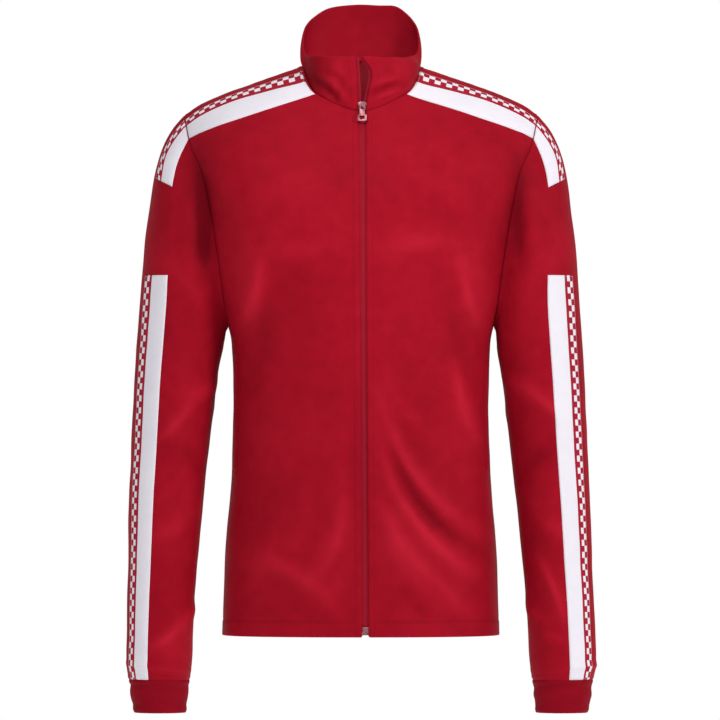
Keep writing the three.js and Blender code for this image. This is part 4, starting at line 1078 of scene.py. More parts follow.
def copied(
    model: tuple[np.ndarray, np.ndarray], frames: list[np.ndarray], places: np.ndarray, first: int = 0
) -> tuple[np.ndarray, np.ndarray]:
    """Copies of one small model, each turned and placed.

    Args:
        model: Its points and its faces.
        frames: X, Y and Z directions of the copies.
        places: Place of each copy.
        first: Number of points that come before.

    Returns:
        Points and faces of all copies.
    """
    points, faces = model
    placed = np.einsum("pk,nkc->npc", points, np.stack(frames, axis=1)) + places[:, None]
    shift = first + np.arange(len(places))[:, None, None] * len(points)
    return placed.reshape(-1, 3), (faces[None] + shift).reshape(-1, 3)

def ripple(points: np.ndarray, seed: int, waves: int, length: float) -> np.ndarray:
    """Slow uneven rise and fall of cloth, the same for points that coincide.

    Args:
        points: Points in millimetres.
        seed: Seed of the directions.
        waves: Number of waves summed.
        length: Mean wave length.

    Returns:
        Height from about -1 to 1 by point.
    """
    rng = np.random.default_rng(seed)
    out = np.zeros(points.shape[:-1])
    for _ in range(waves):
        way = rng.normal(size=3) * (1, 0.6, 0.55)
        way /= np.linalg.norm(way)
        size = length * rng.uniform(0.6, 1.6)
        out += np.sin(points @ way * 2 * np.pi / size + rng.uniform(0, 6.3))
    return out / math.sqrt(waves)


@dataclass
class Jacket:
    """Shaped sheets of the whole jacket, sewn to each other along shared seams."""

    form: BodyForm = field(default_factory=BodyForm)
    seam_dip: float = 0.75
    seam_width: float = 1.3
    seam_puff: float = 0.3
    sheets: dict[str, Sheet] = field(default_factory=dict)

    def sleeve_crease(self, side: int) -> Callable:
        """Soft creases of a sleeve by turn and ring number.

        Args:
            side: 1 for the wearer's left, -1 for the right.

        Returns:
            Function of turn and ring number that gives the outward rise.
        """
        shift = 0.04 if side > 0 else -0.03
        marks = (
            (0.12, 8.4, 0.62, 15, 1.0), (0.9, 9.4, -0.5, 14, 0.9), (0.2, 10.6, -0.45, 12, -0.7),
            (0.3, 12.4, 0.5, 12, 1.1), (0.82, 12.2, 0.5, 13, 0.6), (0.62, 10.4, 0.4, 16, 0.7),
            (0.22, 15.2, 0.3, 8, 0.5), (0.4, 16.2, -0.2, 7, 1.2), (0.75, 15.8, 0.25, 8, 0.7),
            (0.06, 14.4, 0.4, 9, 1.2), (0.36, 5.2, 0.7, 20, 0.9), (0.68, 4.6, -0.7, 18, 1.2),
        )

        def crease(turn: np.ndarray, ring: np.ndarray) -> np.ndarray:
            """Sum the creases."""
            girth = 470 - 15 * ring
            out = np.zeros(np.broadcast(turn, ring).shape)
            for place, n, slope, width, rise in marks:
                gap = (turn - place - shift + 0.5) % 1 - 0.5
                u, v = gap * girth, (ring - n) * 48
                across = (v - slope * u) / math.hypot(1, slope)
                length = np.hypot(u, slope * u) / (girth * 0.14)
                out = out + 1.7 * rise * np.exp(-((across / width) ** 2) - length**2)
            slack = 0.8 * bell(ring - 15.6, 0.5) + 0.7 * bell(ring - 16.5, 0.25)
            out = out + slack * (0.5 + 0.5 * np.sin(4 * np.pi * turn + 1 + side))
            return out * smooth(ring / 1.5) * smooth((17 - ring) / 0.7)

        return crease

    def cuff_crease(self, side: int) -> Callable:
        """Level creases of an elastic cuff by turn and ring number."""
        def crease(turn: np.ndarray, ring: np.ndarray) -> np.ndarray:
            """Sum the creases."""
            wave = 0.25 * np.sin(2 * np.pi * turn * 2 + side)
            out = -0.7 * bell(ring - 1.05 - wave, 0.3) + 0.5 * bell(ring - 1.75 - wave, 0.4)
            out = out - 0.55 * bell(ring - 2.5 + wave, 0.28)
            out = out * (0.75 + 0.25 * np.sin(2 * np.pi * turn * 3 + 2 * side)) * smooth(ring / 0.6)
            return out + 1.8 * smooth((ring - 2.7) / 1.0)

        return crease

    def shape(self) -> None:
        """Make every sheet, and shape its folds and its seams."""
        form, k = self.form, self.form.detail
        left, right = form.front(1), form.front(-1)
        back = form.back(left[-1])
        height = np.arange(left.shape[0]) / k
        width = np.arange(left.shape[1]) / k
        turn = np.arange(SLEEVE_COLUMNS * k) / k
        rings = fine(SLEEVE.key, form.ring_detail)
        cuffs = fine(CUFF.key, form.cuff_detail)

        def place(name: str, grid: np.ndarray, wall: float, rows: np.ndarray, columns: np.ndarray,
                  flip: bool = False, closed: bool = False, seams: str = "") -> None:
            """Keep one sheet."""
            if flip:
                grid, columns = grid[:, ::-1], columns[::-1]
            self.sheets[name] = Sheet(name, grid.copy(), wall, closed, seams, rows.copy(), columns.copy())

        place("front_left", left, WALL.panel, height, width, seams="end head")
        place("front_right", right, WALL.panel, height, width, flip=True, seams="start head")
        place("back", back, WALL.panel, height[: back.shape[0]], np.arange(back.shape[1]) / k,
              seams="start end head")
        for word, side in SIDES:
            sleeve = form.rings(SLEEVE, side, True, self.sleeve_crease(side))
            place(f"sleeve_{word}", sleeve, WALL.panel, rings, turn, side > 0, True, "foot head")
            cuff = form.rings(CUFF, side, False, self.cuff_crease(side))
            place(f"cuff_{word}", cuff, WALL.cuff, cuffs, turn, side > 0, True, "foot")
        collar = form.collar(left, right, back)
        place("collar", collar, WALL.collar, fine(range(5), form.collar_detail),
              np.arange(collar.shape[1]) / k, seams="foot")
        book = SeamBook(list(self.sheets.values()))
        for sheet in self.sheets.values():
            sheet.crowd()
            book.share(sheet)
            self.wrinkle(sheet)
            self.dip(sheet)

    def wrinkle(self, sheet: Sheet) -> None:
        """Give a sheet the small rise and fall of soft knit cloth, and mark its creases for painted shade and
        light.
        """
        kind = sheet.name.split("_")[0]
        size = 0.22 if kind in ("cuff", "collar") else 0.5
        x, y, z = (sheet.grid[..., i] for i in range(3))
        if kind in ("front", "back", "sleeve"):
            # Fold heights go into the crease map for painted shade in hollows and painted light on ridges.
            ahead = smooth((MID_Y + 6 - y) / 12)
            sheet.crease = sheet.crease + fold_rise(x, z, F) * ahead + fold_rise(x, z, B) * (1 - ahead)
        if kind in ("cuff", "sleeve"):
            crease, last = (self.cuff_crease, 2.7) if kind == "cuff" else (self.sleeve_crease, 99)
            turn, ring = sheet.column_at[None, :] / SLEEVE_COLUMNS, sheet.row_at[:, None]
            marks = crease(dict(SIDES)[sheet.name.split("_")[1]])(turn, np.minimum(ring, last))
            sheet.crease = sheet.crease + marks * 1.5
        sheet.rise(ripple(sheet.grid, 11, 9, 120) * size + ripple(sheet.grid, 12, 9, 46) * size * 0.35)
        if kind == "collar":
            self.settle_collar(sheet)
            x, y, z = (sheet.grid[..., i] for i in range(3))
            front = smooth((-8 - y) / 12)
            for fold in COLLAR_FOLDS:
                sheet.rise(fold.height(x, z) * front)

    def settle_collar(self, collar: Sheet) -> None:
        """Let the free edge of the collar sag unevenly, rounder at the wearer's right."""
        x, y, z = (collar.grid[..., i].copy() for i in range(3))
        top = smooth((z - 38) / 34)
        sag = 4.2 + 2.8 * bell(x, 24) + 1.4 * smooth((-x - 40) / 25) - 3.6 * bell(x - 46, 15)
        front = smooth((-y - 20) / 20) * smooth((z + 26) / 30)
        wave = 1.1 * np.sin(x / 9.5 + 0.6) + 0.8 * np.sin(x / 5.2)
        collar.grid[..., 2] += -sag * top + wave * front * smooth((np.abs(x) - 6) / 16)
        collar.grid[..., 1] += 1.2 * np.sin(x / 8.0 + 1.4) * front * smooth((np.abs(x) - 8) / 14)

    def dip(self, sheet: Sheet) -> None:
        """Sink a sheet along its seams, with a slight swell beside them."""
        total = np.zeros(sheet.grid.shape[:2])
        for edge in sheet.seams.split():
            gap = sheet.reach(edge)
            puff = self.seam_puff * bell(gap - 3.6, 2.2)
            pucker = 1 + 0.35 * ripple(sheet.grid, 31, 6, 14)
            total = np.minimum(total, -self.seam_dip * bell(gap, self.seam_width)) + puff * pucker
        sheet.rise(total, marked=False)
        if sheet.name in HEMMED:
            hem = sheet.reach("foot")
            fold = 0.45 * smooth((HEM_FOLD + 1 - hem) / 2.5) - 0.5 * bell(hem - HEM_FOLD, 1.6)
            sheet.rise(fold, marked=False)
        if sheet.name.startswith("front") or sheet.name == "collar":
            for edge in ("start", "end"):
                if edge not in sheet.seams.split():
                    gap = sheet.reach(edge)
                    lift = 0.5 * smooth((9 - gap) / 3) - 0.45 * bell(gap - 7.1, 1.2)
                    sheet.rise(lift * smooth(gap / 1.5 + 0.3), marked=False)


class Tree:
    """Node tree of a material or of a group, with short calls."""

    def __init__(self, tree: bpy.types.NodeTree, owner: bpy.types.ID | None = None) -> None:
        """Keep the tree and the material that it belongs to."""
        self.tree, self.owner = tree, owner

    def add(self, kind: str, inputs: dict | None = None, **settings: object) -> bpy.types.Node:
        """Add a node, set its values and join its sockets.

        Args:
            kind: Node type.
            inputs: Socket name or number to a value or to another node's socket.
            **settings: Properties of the node.

        Returns:
            The new node.
        """
        node = self.tree.nodes.new(kind)
        for name, value in settings.items():
            setattr(node, name, value)
        for name, value in (inputs or {}).items():
            if isinstance(value, bpy.types.NodeSocket):
                self.tree.links.new(value, node.inputs[name])
            else:
                node.inputs[name].default_value = value
        return node

    def math(self, operation: str, *values: object) -> bpy.types.NodeSocket:
        """Result of a math node."""
        return self.add("ShaderNodeMath", dict(enumerate(values)), operation=operation).outputs[0]

    def plus(self, *values: object) -> bpy.types.NodeSocket:
        """Sum of two values."""
        return self.math("ADD", *values)

    def minus(self, *values: object) -> bpy.types.NodeSocket:
        """Difference of two values."""
        return self.math("SUBTRACT", *values)

    def times(self, *values: object) -> bpy.types.NodeSocket:
        """Product of two values."""
        return self.math("MULTIPLY", *values)

    def noise(self, place: bpy.types.NodeSocket, scale: float, detail: float) -> bpy.types.NodeSocket:
        """Value of a noise texture."""
        inputs = {"Vector": place, "Scale": scale, "Detail": detail}
        return self.add("ShaderNodeTexNoise", inputs).outputs["Fac"]

    def finished(self, inputs: dict) -> bpy.types.Material:
        """Material with its one shader."""
        shader = self.add("ShaderNodeBsdfPrincipled", inputs)
        self.add("ShaderNodeOutputMaterial", {"Surface": shader.outputs[0]})
        return self.owner

    def ramp(self, value: bpy.types.NodeSocket, *stops: tuple[float, tuple]) -> bpy.types.NodeSocket:
        """Colour from a ramp with the given stops."""
        node = self.add("ShaderNodeValToRGB", {"Fac": value})
        for i, (place, colour) in enumerate(stops):
            stop = node.color_ramp.elements[i] if i < 2 else node.color_ramp.elements.new(place)
            stop.position, stop.color = place, (*colour, 1)
        return node.outputs["Color"]

    def bump(self, height: bpy.types.NodeSocket, distance: float, strength: float,
             under: bpy.types.NodeSocket | None = None) -> bpy.types.NodeSocket:
        """Normal raised by a height, over another one if given."""
        inputs = {"Height": height, "Distance": distance, "Strength": strength}
        if under is not None:
            inputs["Normal"] = under
        return self.add("ShaderNodeBump", inputs).outputs["Normal"]

def new_material(name: str) -> Tree:
    """Tree of a new, empty material."""
    material = bpy.data.materials.new(name)
    material.use_nodes = True
    material.node_tree.nodes.clear()
    return Tree(material.node_tree, material)
def new_group(name: str, inputs: dict[str, str], outputs: dict[str, str]) -> tuple[Tree, dict, dict]:
    """Start a shader node group.

    Args:
        name: Name of the group.
        inputs: Input names and kinds, Float or Vector.
        outputs: Output names and kinds.

    Returns:
        The tree, its input sockets and the output node's sockets by name.
    """
    tree = bpy.data.node_groups.new(name, "ShaderNodeTree")
    for way, sockets in (("INPUT", inputs), ("OUTPUT", outputs)):
        for label, kind in sockets.items():
            tree.interface.new_socket(label, in_out=way, socket_type=f"NodeSocket{kind}")
    start, end = tree.nodes.new("NodeGroupInput"), tree.nodes.new("NodeGroupOutput")
    return Tree(tree), {n: start.outputs[n] for n in inputs}, {n: end.inputs[n] for n in outputs}


class ClothEffects:
    """Node groups that the cloths share: knitted loops with painted shade between them, and slow clouds of tone
    with painted shade in hollows and painted light on ridges.
    """

    def __init__(self) -> None:
        """Build both groups."""
        self.loops = self.build_loops()
        self.clouds_and_shade = self.build_clouds_and_shade()

    def build_loops(self) -> bpy.types.NodeTree:
        """Rows of small V loops on the cloth's own lengths.

        Returns:
            Group with the height of the loops and a tone that is painted shade where the loops sink.
        """
        tree, inputs, outputs = new_group(
            "knit_loops", {"Cloth": "Vector", "Wales": "Float", "Courses": "Float"},
            {"Height": "Float", "Tone": "Float"},
        )
        parts = tree.add("ShaderNodeSeparateXYZ", {"Vector": inputs["Cloth"]}).outputs
        u = tree.times(parts["X"], inputs["Wales"])
        v = tree.times(parts["Y"], inputs["Courses"])
        across = tree.math("ABSOLUTE", tree.minus(tree.math("FRACT", u), 0.5))
        rib = tree.minus(1.0, tree.times(across, 2.0))
        slant = tree.plus(v, tree.times(across, 0.9))
        wave = tree.math("SINE", tree.times(slant, 2 * math.pi))
        loop = tree.plus(tree.times(wave, 0.25), 0.5)
        ridge = tree.times(tree.math("POWER", rib, 0.6), 0.6)
        height = tree.plus(ridge, tree.times(loop, 0.4))
        tree.tree.links.new(height, outputs["Height"])
        # Tone: painted shade where the loops are low, lighter where they are high.
        tree.tree.links.new(tree.times(height, loop), outputs["Tone"])
        return tree.tree

    def build_clouds_and_shade(self) -> bpy.types.NodeTree:
        """Slow clouds of tone, plus painted shade in the hollows and painted light on the ridges of the crease
        map.

        Returns:
            Group with a tone from 0 to 1 and a height.
        """
        tree, inputs, outputs = new_group(
            "cloth_unevenness", {"Place": "Vector", "Crease": "Float", "Depth": "Float"},
            {"Tone": "Float", "Height": "Float"},
        )
        broad, small = (tree.noise(inputs["Place"], *size) for size in ((7.0, 2.0), (60.0, 3.0)))
        tone = tree.plus(tree.times(broad, 0.16), tree.times(small, 0.2))
        # The crease map paints shade into hollows and light onto ridges.
        tone = tree.plus(tone, tree.times(inputs["Crease"], inputs["Depth"]))
        tree.tree.links.new(tree.plus(tone, 0.3), outputs["Tone"])
        tree.tree.links.new(small, outputs["Height"])
        return tree.tree


@dataclass(frozen=True)
class KnitFinish:
    """Polyester knit: colours from the painted shade of hollows to the painted light of ridges, gloss, and loops
    per metre.
    """

    name: str
    deep: tuple[float, float, float]
    middle: tuple[float, float, float]
    light: tuple[float, float, float]
    roughness: float = 0.5
    specular: float = 0.07
    specular_tint: tuple[float, float, float] = (1.0, 0.3, 0.38)
    sheen: float = 0.05
    sheen_tint: tuple[float, float, float] = (0.9, 0.06, 0.12)
    wales: float = 1000.0
    courses: float = 1150.0
    loop_depth: float = 0.00012
    crease_shade: float = 0.05

    def start(self, effects: ClothEffects) -> tuple[Tree, bpy.types.NodeSocket, dict]:
        """Nodes that every knit shares.

        Args:
            effects: Shared groups.

        Returns:
            The tree, the cloth colour and the shader's other inputs.
        """
        tree = new_material(self.name)
        loops = tree.add("ShaderNodeGroup", {
            "Cloth": tree.add("ShaderNodeUVMap", uv_map="cloth").outputs["UV"],
            "Wales": self.wales, "Courses": self.courses,
        }, node_tree=effects.loops).outputs
        clouds = tree.add("ShaderNodeGroup", {
            "Place": tree.add("ShaderNodeTexCoord").outputs["Object"],
            "Crease": tree.add("ShaderNodeAttribute", attribute_name="crease").outputs["Fac"],
            "Depth": self.crease_shade,
        }, node_tree=effects.clouds_and_shade).outputs
        # Tone of the clouds, the crease map's painted shade and light, and the loops' painted shade picks the
        # colour between deep and light.
        tone = tree.plus(clouds["Tone"], tree.times(loops["Tone"], 0.12))
        colour = tree.ramp(tone, (0.2, self.deep), (0.85, self.light), (0.52, self.middle))
        soft = tree.bump(clouds["Height"], 0.0006, 0.35)
        return tree, colour, {
            "Roughness": tree.minus(self.roughness + 0.06, tree.times(loops["Tone"], 0.12)),
            "Specular IOR Level": self.specular, "Specular Tint": (*self.specular_tint, 1),
            "Sheen Weight": self.sheen, "Sheen Roughness": 0.45,
            "Sheen Tint": (*self.sheen_tint, 1),
            "Normal": tree.bump(loops["Height"], self.loop_depth, 0.6, soft),
        }

    def material(self, effects: ClothEffects) -> bpy.types.Material:
        """Material of plain knit."""
        tree, colour, inputs = self.start(effects)
        return tree.finished({"Base Color": colour, **inputs})


@dataclass(frozen=True)
class BandFinish(KnitFinish):
    """White knit band with two rows of red checks along its rear side."""

    check: tuple[float, float, float] = (0.34, 0.008, 0.024)
    check_length: float = 0.0075
    edging: float = 0.5
    margin: float = 0.14
    rows_width: float = 0.62

    def material(self, effects: ClothEffects) -> bpy.types.Material:
        """Material of the band, whose layout map gives the share across and the length along."""
        tree, colour, inputs = self.start(effects)
        layout = tree.add("ShaderNodeUVMap", uv_map="layout").outputs["UV"]
        parts = tree.add("ShaderNodeSeparateXYZ", {"Vector": layout}).outputs
        share = tree.math("DIVIDE", parts["X"], self.edging)
        cell = tree.times(tree.minus(share, self.margin), 2 / self.rows_width)
        step = tree.math("FLOOR", tree.math("DIVIDE", parts["Y"], self.check_length))
        odd = tree.math("FLOORED_MODULO", tree.plus(tree.math("FLOOR", cell), step), 2.0)
        in_rows = tree.times(
            tree.math("GREATER_THAN", cell, 0.0), tree.math("LESS_THAN", cell, 2.0)
        )
        white = tree.times(in_rows, odd)
        red = tree.times(tree.math("LESS_THAN", share, 1.0), tree.minus(1.0, white))
        mixed = tree.add("ShaderNodeMix", {0: red, 6: colour, 7: (*self.check, 1)}, data_type="RGBA")
        return tree.finished({"Base Color": mixed.outputs[2], **inputs})


@dataclass(frozen=True)
class MetalFinish:
    """Tinted plated metal with fine scratches and random patches of darker tone."""

    name: str = "zip_metal"
    colour: tuple[float, float, float] = (0.48, 0.23, 0.25)
    dark: tuple[float, float, float] = (0.12, 0.012, 0.024)
    roughness: float = 0.36

    def material(self) -> bpy.types.Material:
        """Material of the zip hardware."""
        tree = new_material(self.name)
        place = tree.add("ShaderNodeTexCoord").outputs["Object"]
        grain, patch = tree.noise(place, 900.0, 4.0), tree.noise(place, 160.0, 2.0)
        return tree.finished({
            "Base Color": tree.ramp(patch, (0.3, self.dark), (0.62, self.colour)), "Metallic": 0.85,
            "Roughness": tree.plus(tree.times(grain, 0.2), self.roughness - 0.08),
            "Normal": tree.bump(grain, 0.00005, 0.3),
        })


@dataclass
class Wardrobe:
    """Every finish of the jacket, built once."""

    effects: ClothEffects = field(default_factory=ClothEffects)
    made: dict[Look, bpy.types.Material] = field(default_factory=dict)

    def build(self) -> None:
        """Build the materials."""
        # Jersey red: deep is painted shade in hollows, light is painted light on ridges.
        red = ((0.14, 0.0015, 0.006), (0.3, 0.0042, 0.0135), (0.44, 0.010, 0.026))
        plain = {"specular_tint": (1, 1, 1), "sheen_tint": (1, 1, 1)}
        finishes = {
            Look.JERSEY: KnitFinish("jersey_knit", *red),
            Look.RIB: KnitFinish(
                "cuff_knit", red[0], (0.235, 0.0032, 0.011), (0.31, 0.006, 0.018),
                roughness=0.62, wales=700.0, courses=1000.0, loop_depth=0.0002,
            ),
            Look.TAPE: KnitFinish(
                "zip_tape_weave", (0.22, 0.005, 0.014), (0.29, 0.009, 0.022), (0.35, 0.014, 0.033),
                roughness=0.6, wales=1600.0, courses=1300.0, loop_depth=0.0001,
            ),
            Look.THREAD: KnitFinish(
                "red_thread", (0.22, 0.003, 0.012), (0.3, 0.006, 0.02), (0.38, 0.012, 0.034),
                roughness=0.45, wales=3000.0, courses=3000.0,
            ),
            Look.WHITE_THREAD: KnitFinish(
                "white_thread", (0.62, 0.58, 0.63), (0.72, 0.69, 0.73), (0.8, 0.78, 0.81),
                roughness=0.45, wales=3000.0, courses=3000.0, **plain,
            ),
            Look.COIL: KnitFinish(
                "coil_plastic", (0.1, 0.003, 0.008), (0.155, 0.006, 0.013), (0.21, 0.012, 0.022),
                roughness=0.35, sheen=0.0, wales=2500.0, courses=2500.0, loop_depth=0.00003,
            ),
            Look.BAND: BandFinish(
                "band_knit", (0.63, 0.59, 0.66), (0.75, 0.715, 0.775), (0.82, 0.795, 0.84),
                roughness=0.6, crease_shade=0.02, **plain,
            ),
        }
        for look, finish in finishes.items():
            self.made[look] = finish.material(self.effects)
        self.made[Look.METAL] = MetalFinish().material()

    def dress(self, piece: bpy.types.Object, look: Look) -> None:
        """Give a piece its finish and log its size."""
        piece.data.materials.clear()
        piece.data.materials.append(self.made[look])
        LOG.info("%s: %d faces", piece.name, len(piece.data.polygons))

def taken(piece: bpy.types.Object) -> tuple[np.ndarray, np.ndarray]:
    """Points and faces of a model, which is then cleared away."""
    mesh = piece.data
    points = np.array([v.co[:] for v in mesh.vertices])
    faces = np.array([p.vertices[:] for p in mesh.polygons])
    bpy.data.objects.remove(piece)
    bpy.data.meshes.remove(mesh)
    return points, faces
@dataclass
class Stitches:
    """Rows of machine stitches laid on the cloth, each a small spindle of thread."""

    pitch: float = 3.0
    length: float = 2.35
    radius: float = 0.3
    lift: float = 0.12
    aim: float = 0.8

    def spindle(self) -> tuple[np.ndarray, np.ndarray]:
        """One stitch, modelled once: points with X along the thread, and its faces."""
        bpy.ops.object.select_all(action="DESELECT")
        bpy.ops.mesh.primitive_uv_sphere_add(segments=6, ring_count=4, radius=1)
        thread = bpy.context.object
        bpy.ops.object.mode_set(mode="EDIT")
        bpy.ops.mesh.select_all(action="SELECT")
        bpy.ops.transform.resize(value=(self.radius, self.radius, self.length / 2))
        bpy.ops.transform.rotate(value=math.pi / 2, orient_axis="Y", center_override=(0, 0, 0))
        bpy.ops.mesh.quads_convert_to_tris()
        bpy.ops.object.mode_set(mode="OBJECT")
        return taken(thread)

    def lay(self, name: str, lines: list[tuple[np.ndarray, np.ndarray]]) -> bpy.types.Object:
        """Lay stitches on lines.

        Args:
            name: Name of the piece.
            lines: Points and normals of each line.

        Returns:
            One piece with all the stitches.
        """
        model = self.spindle()
        points, faces, count = [], [], 0
        for path, normals in lines:
            stops = np.arange(self.pitch / 2, run_lengths(path)[-1], self.pitch)
            if len(stops) == 0:
                continue
            centre, ahead, up = frames_on(path, normals, stops, self.aim)
            frames = [ahead, np.cross(up, ahead), up]
            placed, shifted = copied(model, frames, centre + up * self.lift, count)
            points.append(placed)
            faces.append(shifted)
            count += len(placed)
        points = np.concatenate(points)
        piece = new_piece(name, points, np.concatenate(faces))
        add_map(piece.data, "cloth", points[corners(piece.data)][:, [0, 2]] * MM)
        piece.data.attributes.new("crease", "FLOAT", "POINT")
        return piece


@dataclass
class ClothMaker:
    """Makes the cloth pieces of the jacket from its shaped sheets."""

    jacket: Jacket
    wardrobe: Wardrobe
    rolls: dict[str, str] = field(default_factory=lambda: {
        "front_left": "foot start", "front_right": "foot end", "back": "foot",
        "cuff_left": "head", "cuff_right": "head", "collar": "head start end",
    })

    def build(self) -> None:
        """Build panels, sleeves, cuffs and collar."""
        for name, sheet in self.jacket.sheets.items():
            extra: np.ndarray | float = 0.0
            if name in HEMMED:
                extra = 1.0 * smooth((HEM_FOLD + 0.5 - sheet.reach("foot")) / 1.5)
            piece = shell_object(sheet, f"{name}_cloth", self.rolls.get(name, ""), extra)
            look = Look.RIB if name.startswith("cuff") else Look.JERSEY
            self.wardrobe.dress(piece, look)
            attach(piece, "garment")
            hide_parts(name)
            flat, area = sheet.cut()


@dataclass
class BandMaker:
    """White bands of the shoulders and sleeves, and their seams."""

    jacket: Jacket
    wardrobe: Wardrobe
    stitches: Stitches
    rise: float = 0.95
    wall: float = 1.0
    edge_round: float = 0.7
    seam_inset: float = 1.5
    sleeve_top_z: float = -262.0
    cap_end: tuple[float, float, float] = (247.0, -145.6, 0.51)
    last_row: float = 26.0
    last_turn: float = 11.0
    last_ring: float = 16.97

    def strip(self, name: str, base: Sheet, r: np.ndarray, c: np.ndarray, lengthwise: int) -> None:
        """Lay a strip on part of a sheet, with its stitches.

        Args:
            name: CAD node that it stands for.
            base: Sheet that carries it.
            r: Row numbers of the base by strip point.
            c: Column numbers of the base by strip point.
            lengthwise: Grid axis that runs along the strip.
        """
        points, normals = base.sample(r, c)
        strip = Sheet(name, points, self.wall, row_at=np.arange(len(r)), column_at=np.arange(r.shape[1]))
        strip.normals = normals
        edge = strip.rim()
        strip.rise(self.rise - 0.5 * bell(edge, self.edge_round), marked=False)
        strip.rise(-0.3 * bell(edge - self.seam_inset, 0.5), marked=False)
        across, up = strip.flat()
        share = (self.last_turn - c) / 4 if lengthwise == 0 else (self.last_row - r) / 4
        layout = np.stack([share, up if lengthwise == 0 else across], axis=-1)
        piece = shell_object(strip, f"{name}_cloth")
        places = np.tile(layout.reshape(-1, 2), (2, 1))
        add_map(piece.data, "layout", places[corners(piece.data)])
        self.wardrobe.dress(piece, Look.BAND)
        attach(piece, "garment")
        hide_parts(name)
        lines = [strip.beside(edge, self.seam_inset) for edge in EDGES]
        thread = self.stitches.lay(f"{name}_stitches", lines)
        self.wardrobe.dress(thread, Look.WHITE_THREAD)
        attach(thread, "garment")
        flat, area = strip.cut()

    def cut_rings(self, sleeve: Sheet, around: np.ndarray, first: float, last: float,
                  cut: Callable) -> np.ndarray:
        """Ring numbers at which a line of the front view crosses a sleeve.

        Args:
            sleeve: Sleeve that carries the band.
            around: Column numbers.
            first: First ring of the search.
            last: Last ring of the search.
            cut: Height of the line by distance from the middle of the body.

        Returns:
            One ring number per column.
        """
        rings = np.linspace(first, last, 60)
        points, _ = sleeve.sample(*np.meshgrid(rings, around, indexing="ij"))
        over = points[..., 2] - cut(np.abs(points[..., 0]))
        return np.array([np.interp(0, -over[:, i], rings) for i in range(len(around))])

    def build(self) -> None:
        """Build the six bands and their stitches."""
        k = self.jacket.form.detail
        x0, z0, slope = self.cap_end
        for word, side in SIDES:
            sleeve = self.jacket.sheets[f"sleeve_{word}"]
            rows = np.linspace(self.last_row - 4, self.last_row, 5 * k + 1)
            columns = np.linspace(0.06, 8.97, 9 * k + 1)[::side]
            r, c = np.meshgrid(rows, columns, indexing="ij")
            self.strip(f"shoulder_band_{word}", self.jacket.sheets[f"front_{word}"], r, c, 1)
            around = np.linspace(self.last_turn - 4, self.last_turn, 4 * k + 1)[::-side]
            foot = self.cut_rings(sleeve, around, 0.05, 4.5, lambda x: z0 - (x0 - x) * slope)
            rings = 0.05 + (foot - 0.05) * np.linspace(0, 1, 40)[:, None]
            self.strip(f"cap_band_{word}", sleeve, rings, np.broadcast_to(around, rings.shape), 0)
            head = self.cut_rings(sleeve, around, 4.5, 8.0, lambda x: np.full_like(x, self.sleeve_top_z))
            rings = head + (self.last_ring - head) * np.linspace(0, 1, 126)[:, None]
            self.strip(f"sleeve_band_{word}", sleeve, rings, np.broadcast_to(around, rings.shape), 0)


@dataclass
class PocketMaker:
    """Welts of the two side pockets with their stitching."""

    jacket: Jacket
    wardrobe: Wardrobe
    stitches: Stitches
    first_row: float = 8.0
    last_row: float = 13.0
    near: float = 7.42
    far: float = 7.74
    wall: float = 0.9
    turn_in: float = 1.2

    def build(self) -> None:
        """Build both welts."""
        for word, side in SIDES:
            front = self.jacket.sheets[f"front_{word}"]
            rows = np.linspace(self.first_row, self.last_row, 61)
            columns = np.linspace(self.near, self.far, 13)[::side]
            r, c = np.meshgrid(rows, columns, indexing="ij")
            points, normals = front.sample(r, c)
            name = f"pocket_welt_{word}"
            welt = Sheet(name, points, self.wall, row_at=r[:, 0], column_at=np.arange(13.0))
            welt.normals = normals
            edge, share = welt.rim(), (c - self.near) / (self.far - self.near)
            slit = -0.75 * bell(share - 0.5, 0.09) * smooth(edge / 1.5)
            welt.rise(0.95 - 0.6 * bell(edge, 0.6) + slit, marked=False)
            piece = shell_object(welt, f"{name}_cloth")
            self.wardrobe.dress(piece, Look.JERSEY)
            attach(piece, "garment")
            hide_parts(f"pocket_welt_{word}")
            middle, ends = (self.near + self.far) / 2, (self.first_row - 0.15, self.last_row + 0.15)
            around = [
                front.sample(np.linspace(*ends, 60), np.full(60, middle + gap)) for gap in (-0.35, 0.35)
            ]
            across = np.linspace(self.near - 0.19, self.far + 0.19, 12)
            around += [front.sample(np.full(12, row), across) for row in ends]
            thread = self.stitches.lay(f"pocket_stitches_{word}", around)
            self.wardrobe.dress(thread, Look.THREAD)
            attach(thread, "garment")
            (width, length), area = welt.cut()


@dataclass
class SeamSewer:
    """Topstitching of the zip edges, the hem and the neck."""

    jacket: Jacket
    wardrobe: Wardrobe
    stitches: Stitches
    zip_inset: float = 7.1
    hem_lines: tuple[float, float] = (16.4, 19.0)
    neck_inset: float = 4.6

    def build(self) -> None:
        """Sew the lines, one piece for each panel and one for the collar."""
        sheets = self.jacket.sheets
        for word, edge in (("left", "start"), ("right", "end")):
            front = sheets[f"front_{word}"]
            lines = [
                front.beside(edge, self.zip_inset, 0.0, 20.95),
                front.beside(edge, self.neck_inset, 21.3, 22.0),
                front.beside(edge, self.neck_inset, 26.0, 27.9),
            ]
            lines += [front.beside("foot", inset, 0.28, 9) for inset in self.hem_lines]
            self.sew(f"front_{word}_stitches", lines)
        back = sheets["back"]
        last = back.column_at.max()
        lines = [back.beside("foot", inset, 0, last) for inset in self.hem_lines]
        lines.append(back.beside("head", self.neck_inset, 9.3, last - 9.3))
        self.sew("back_stitches", lines)
        lines = [sheets["collar"].beside(e, self.zip_inset, 0.1, 3.95) for e in ("start", "end")]
        self.sew("collar_stitches", lines)

    def sew(self, name: str, lines: list[tuple[np.ndarray, np.ndarray]]) -> None:
        """Lay one piece of stitches that rides on the garment."""
        thread = self.stitches.lay(name, lines)
        self.wardrobe.dress(thread, Look.THREAD)
        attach(thread, "garment")


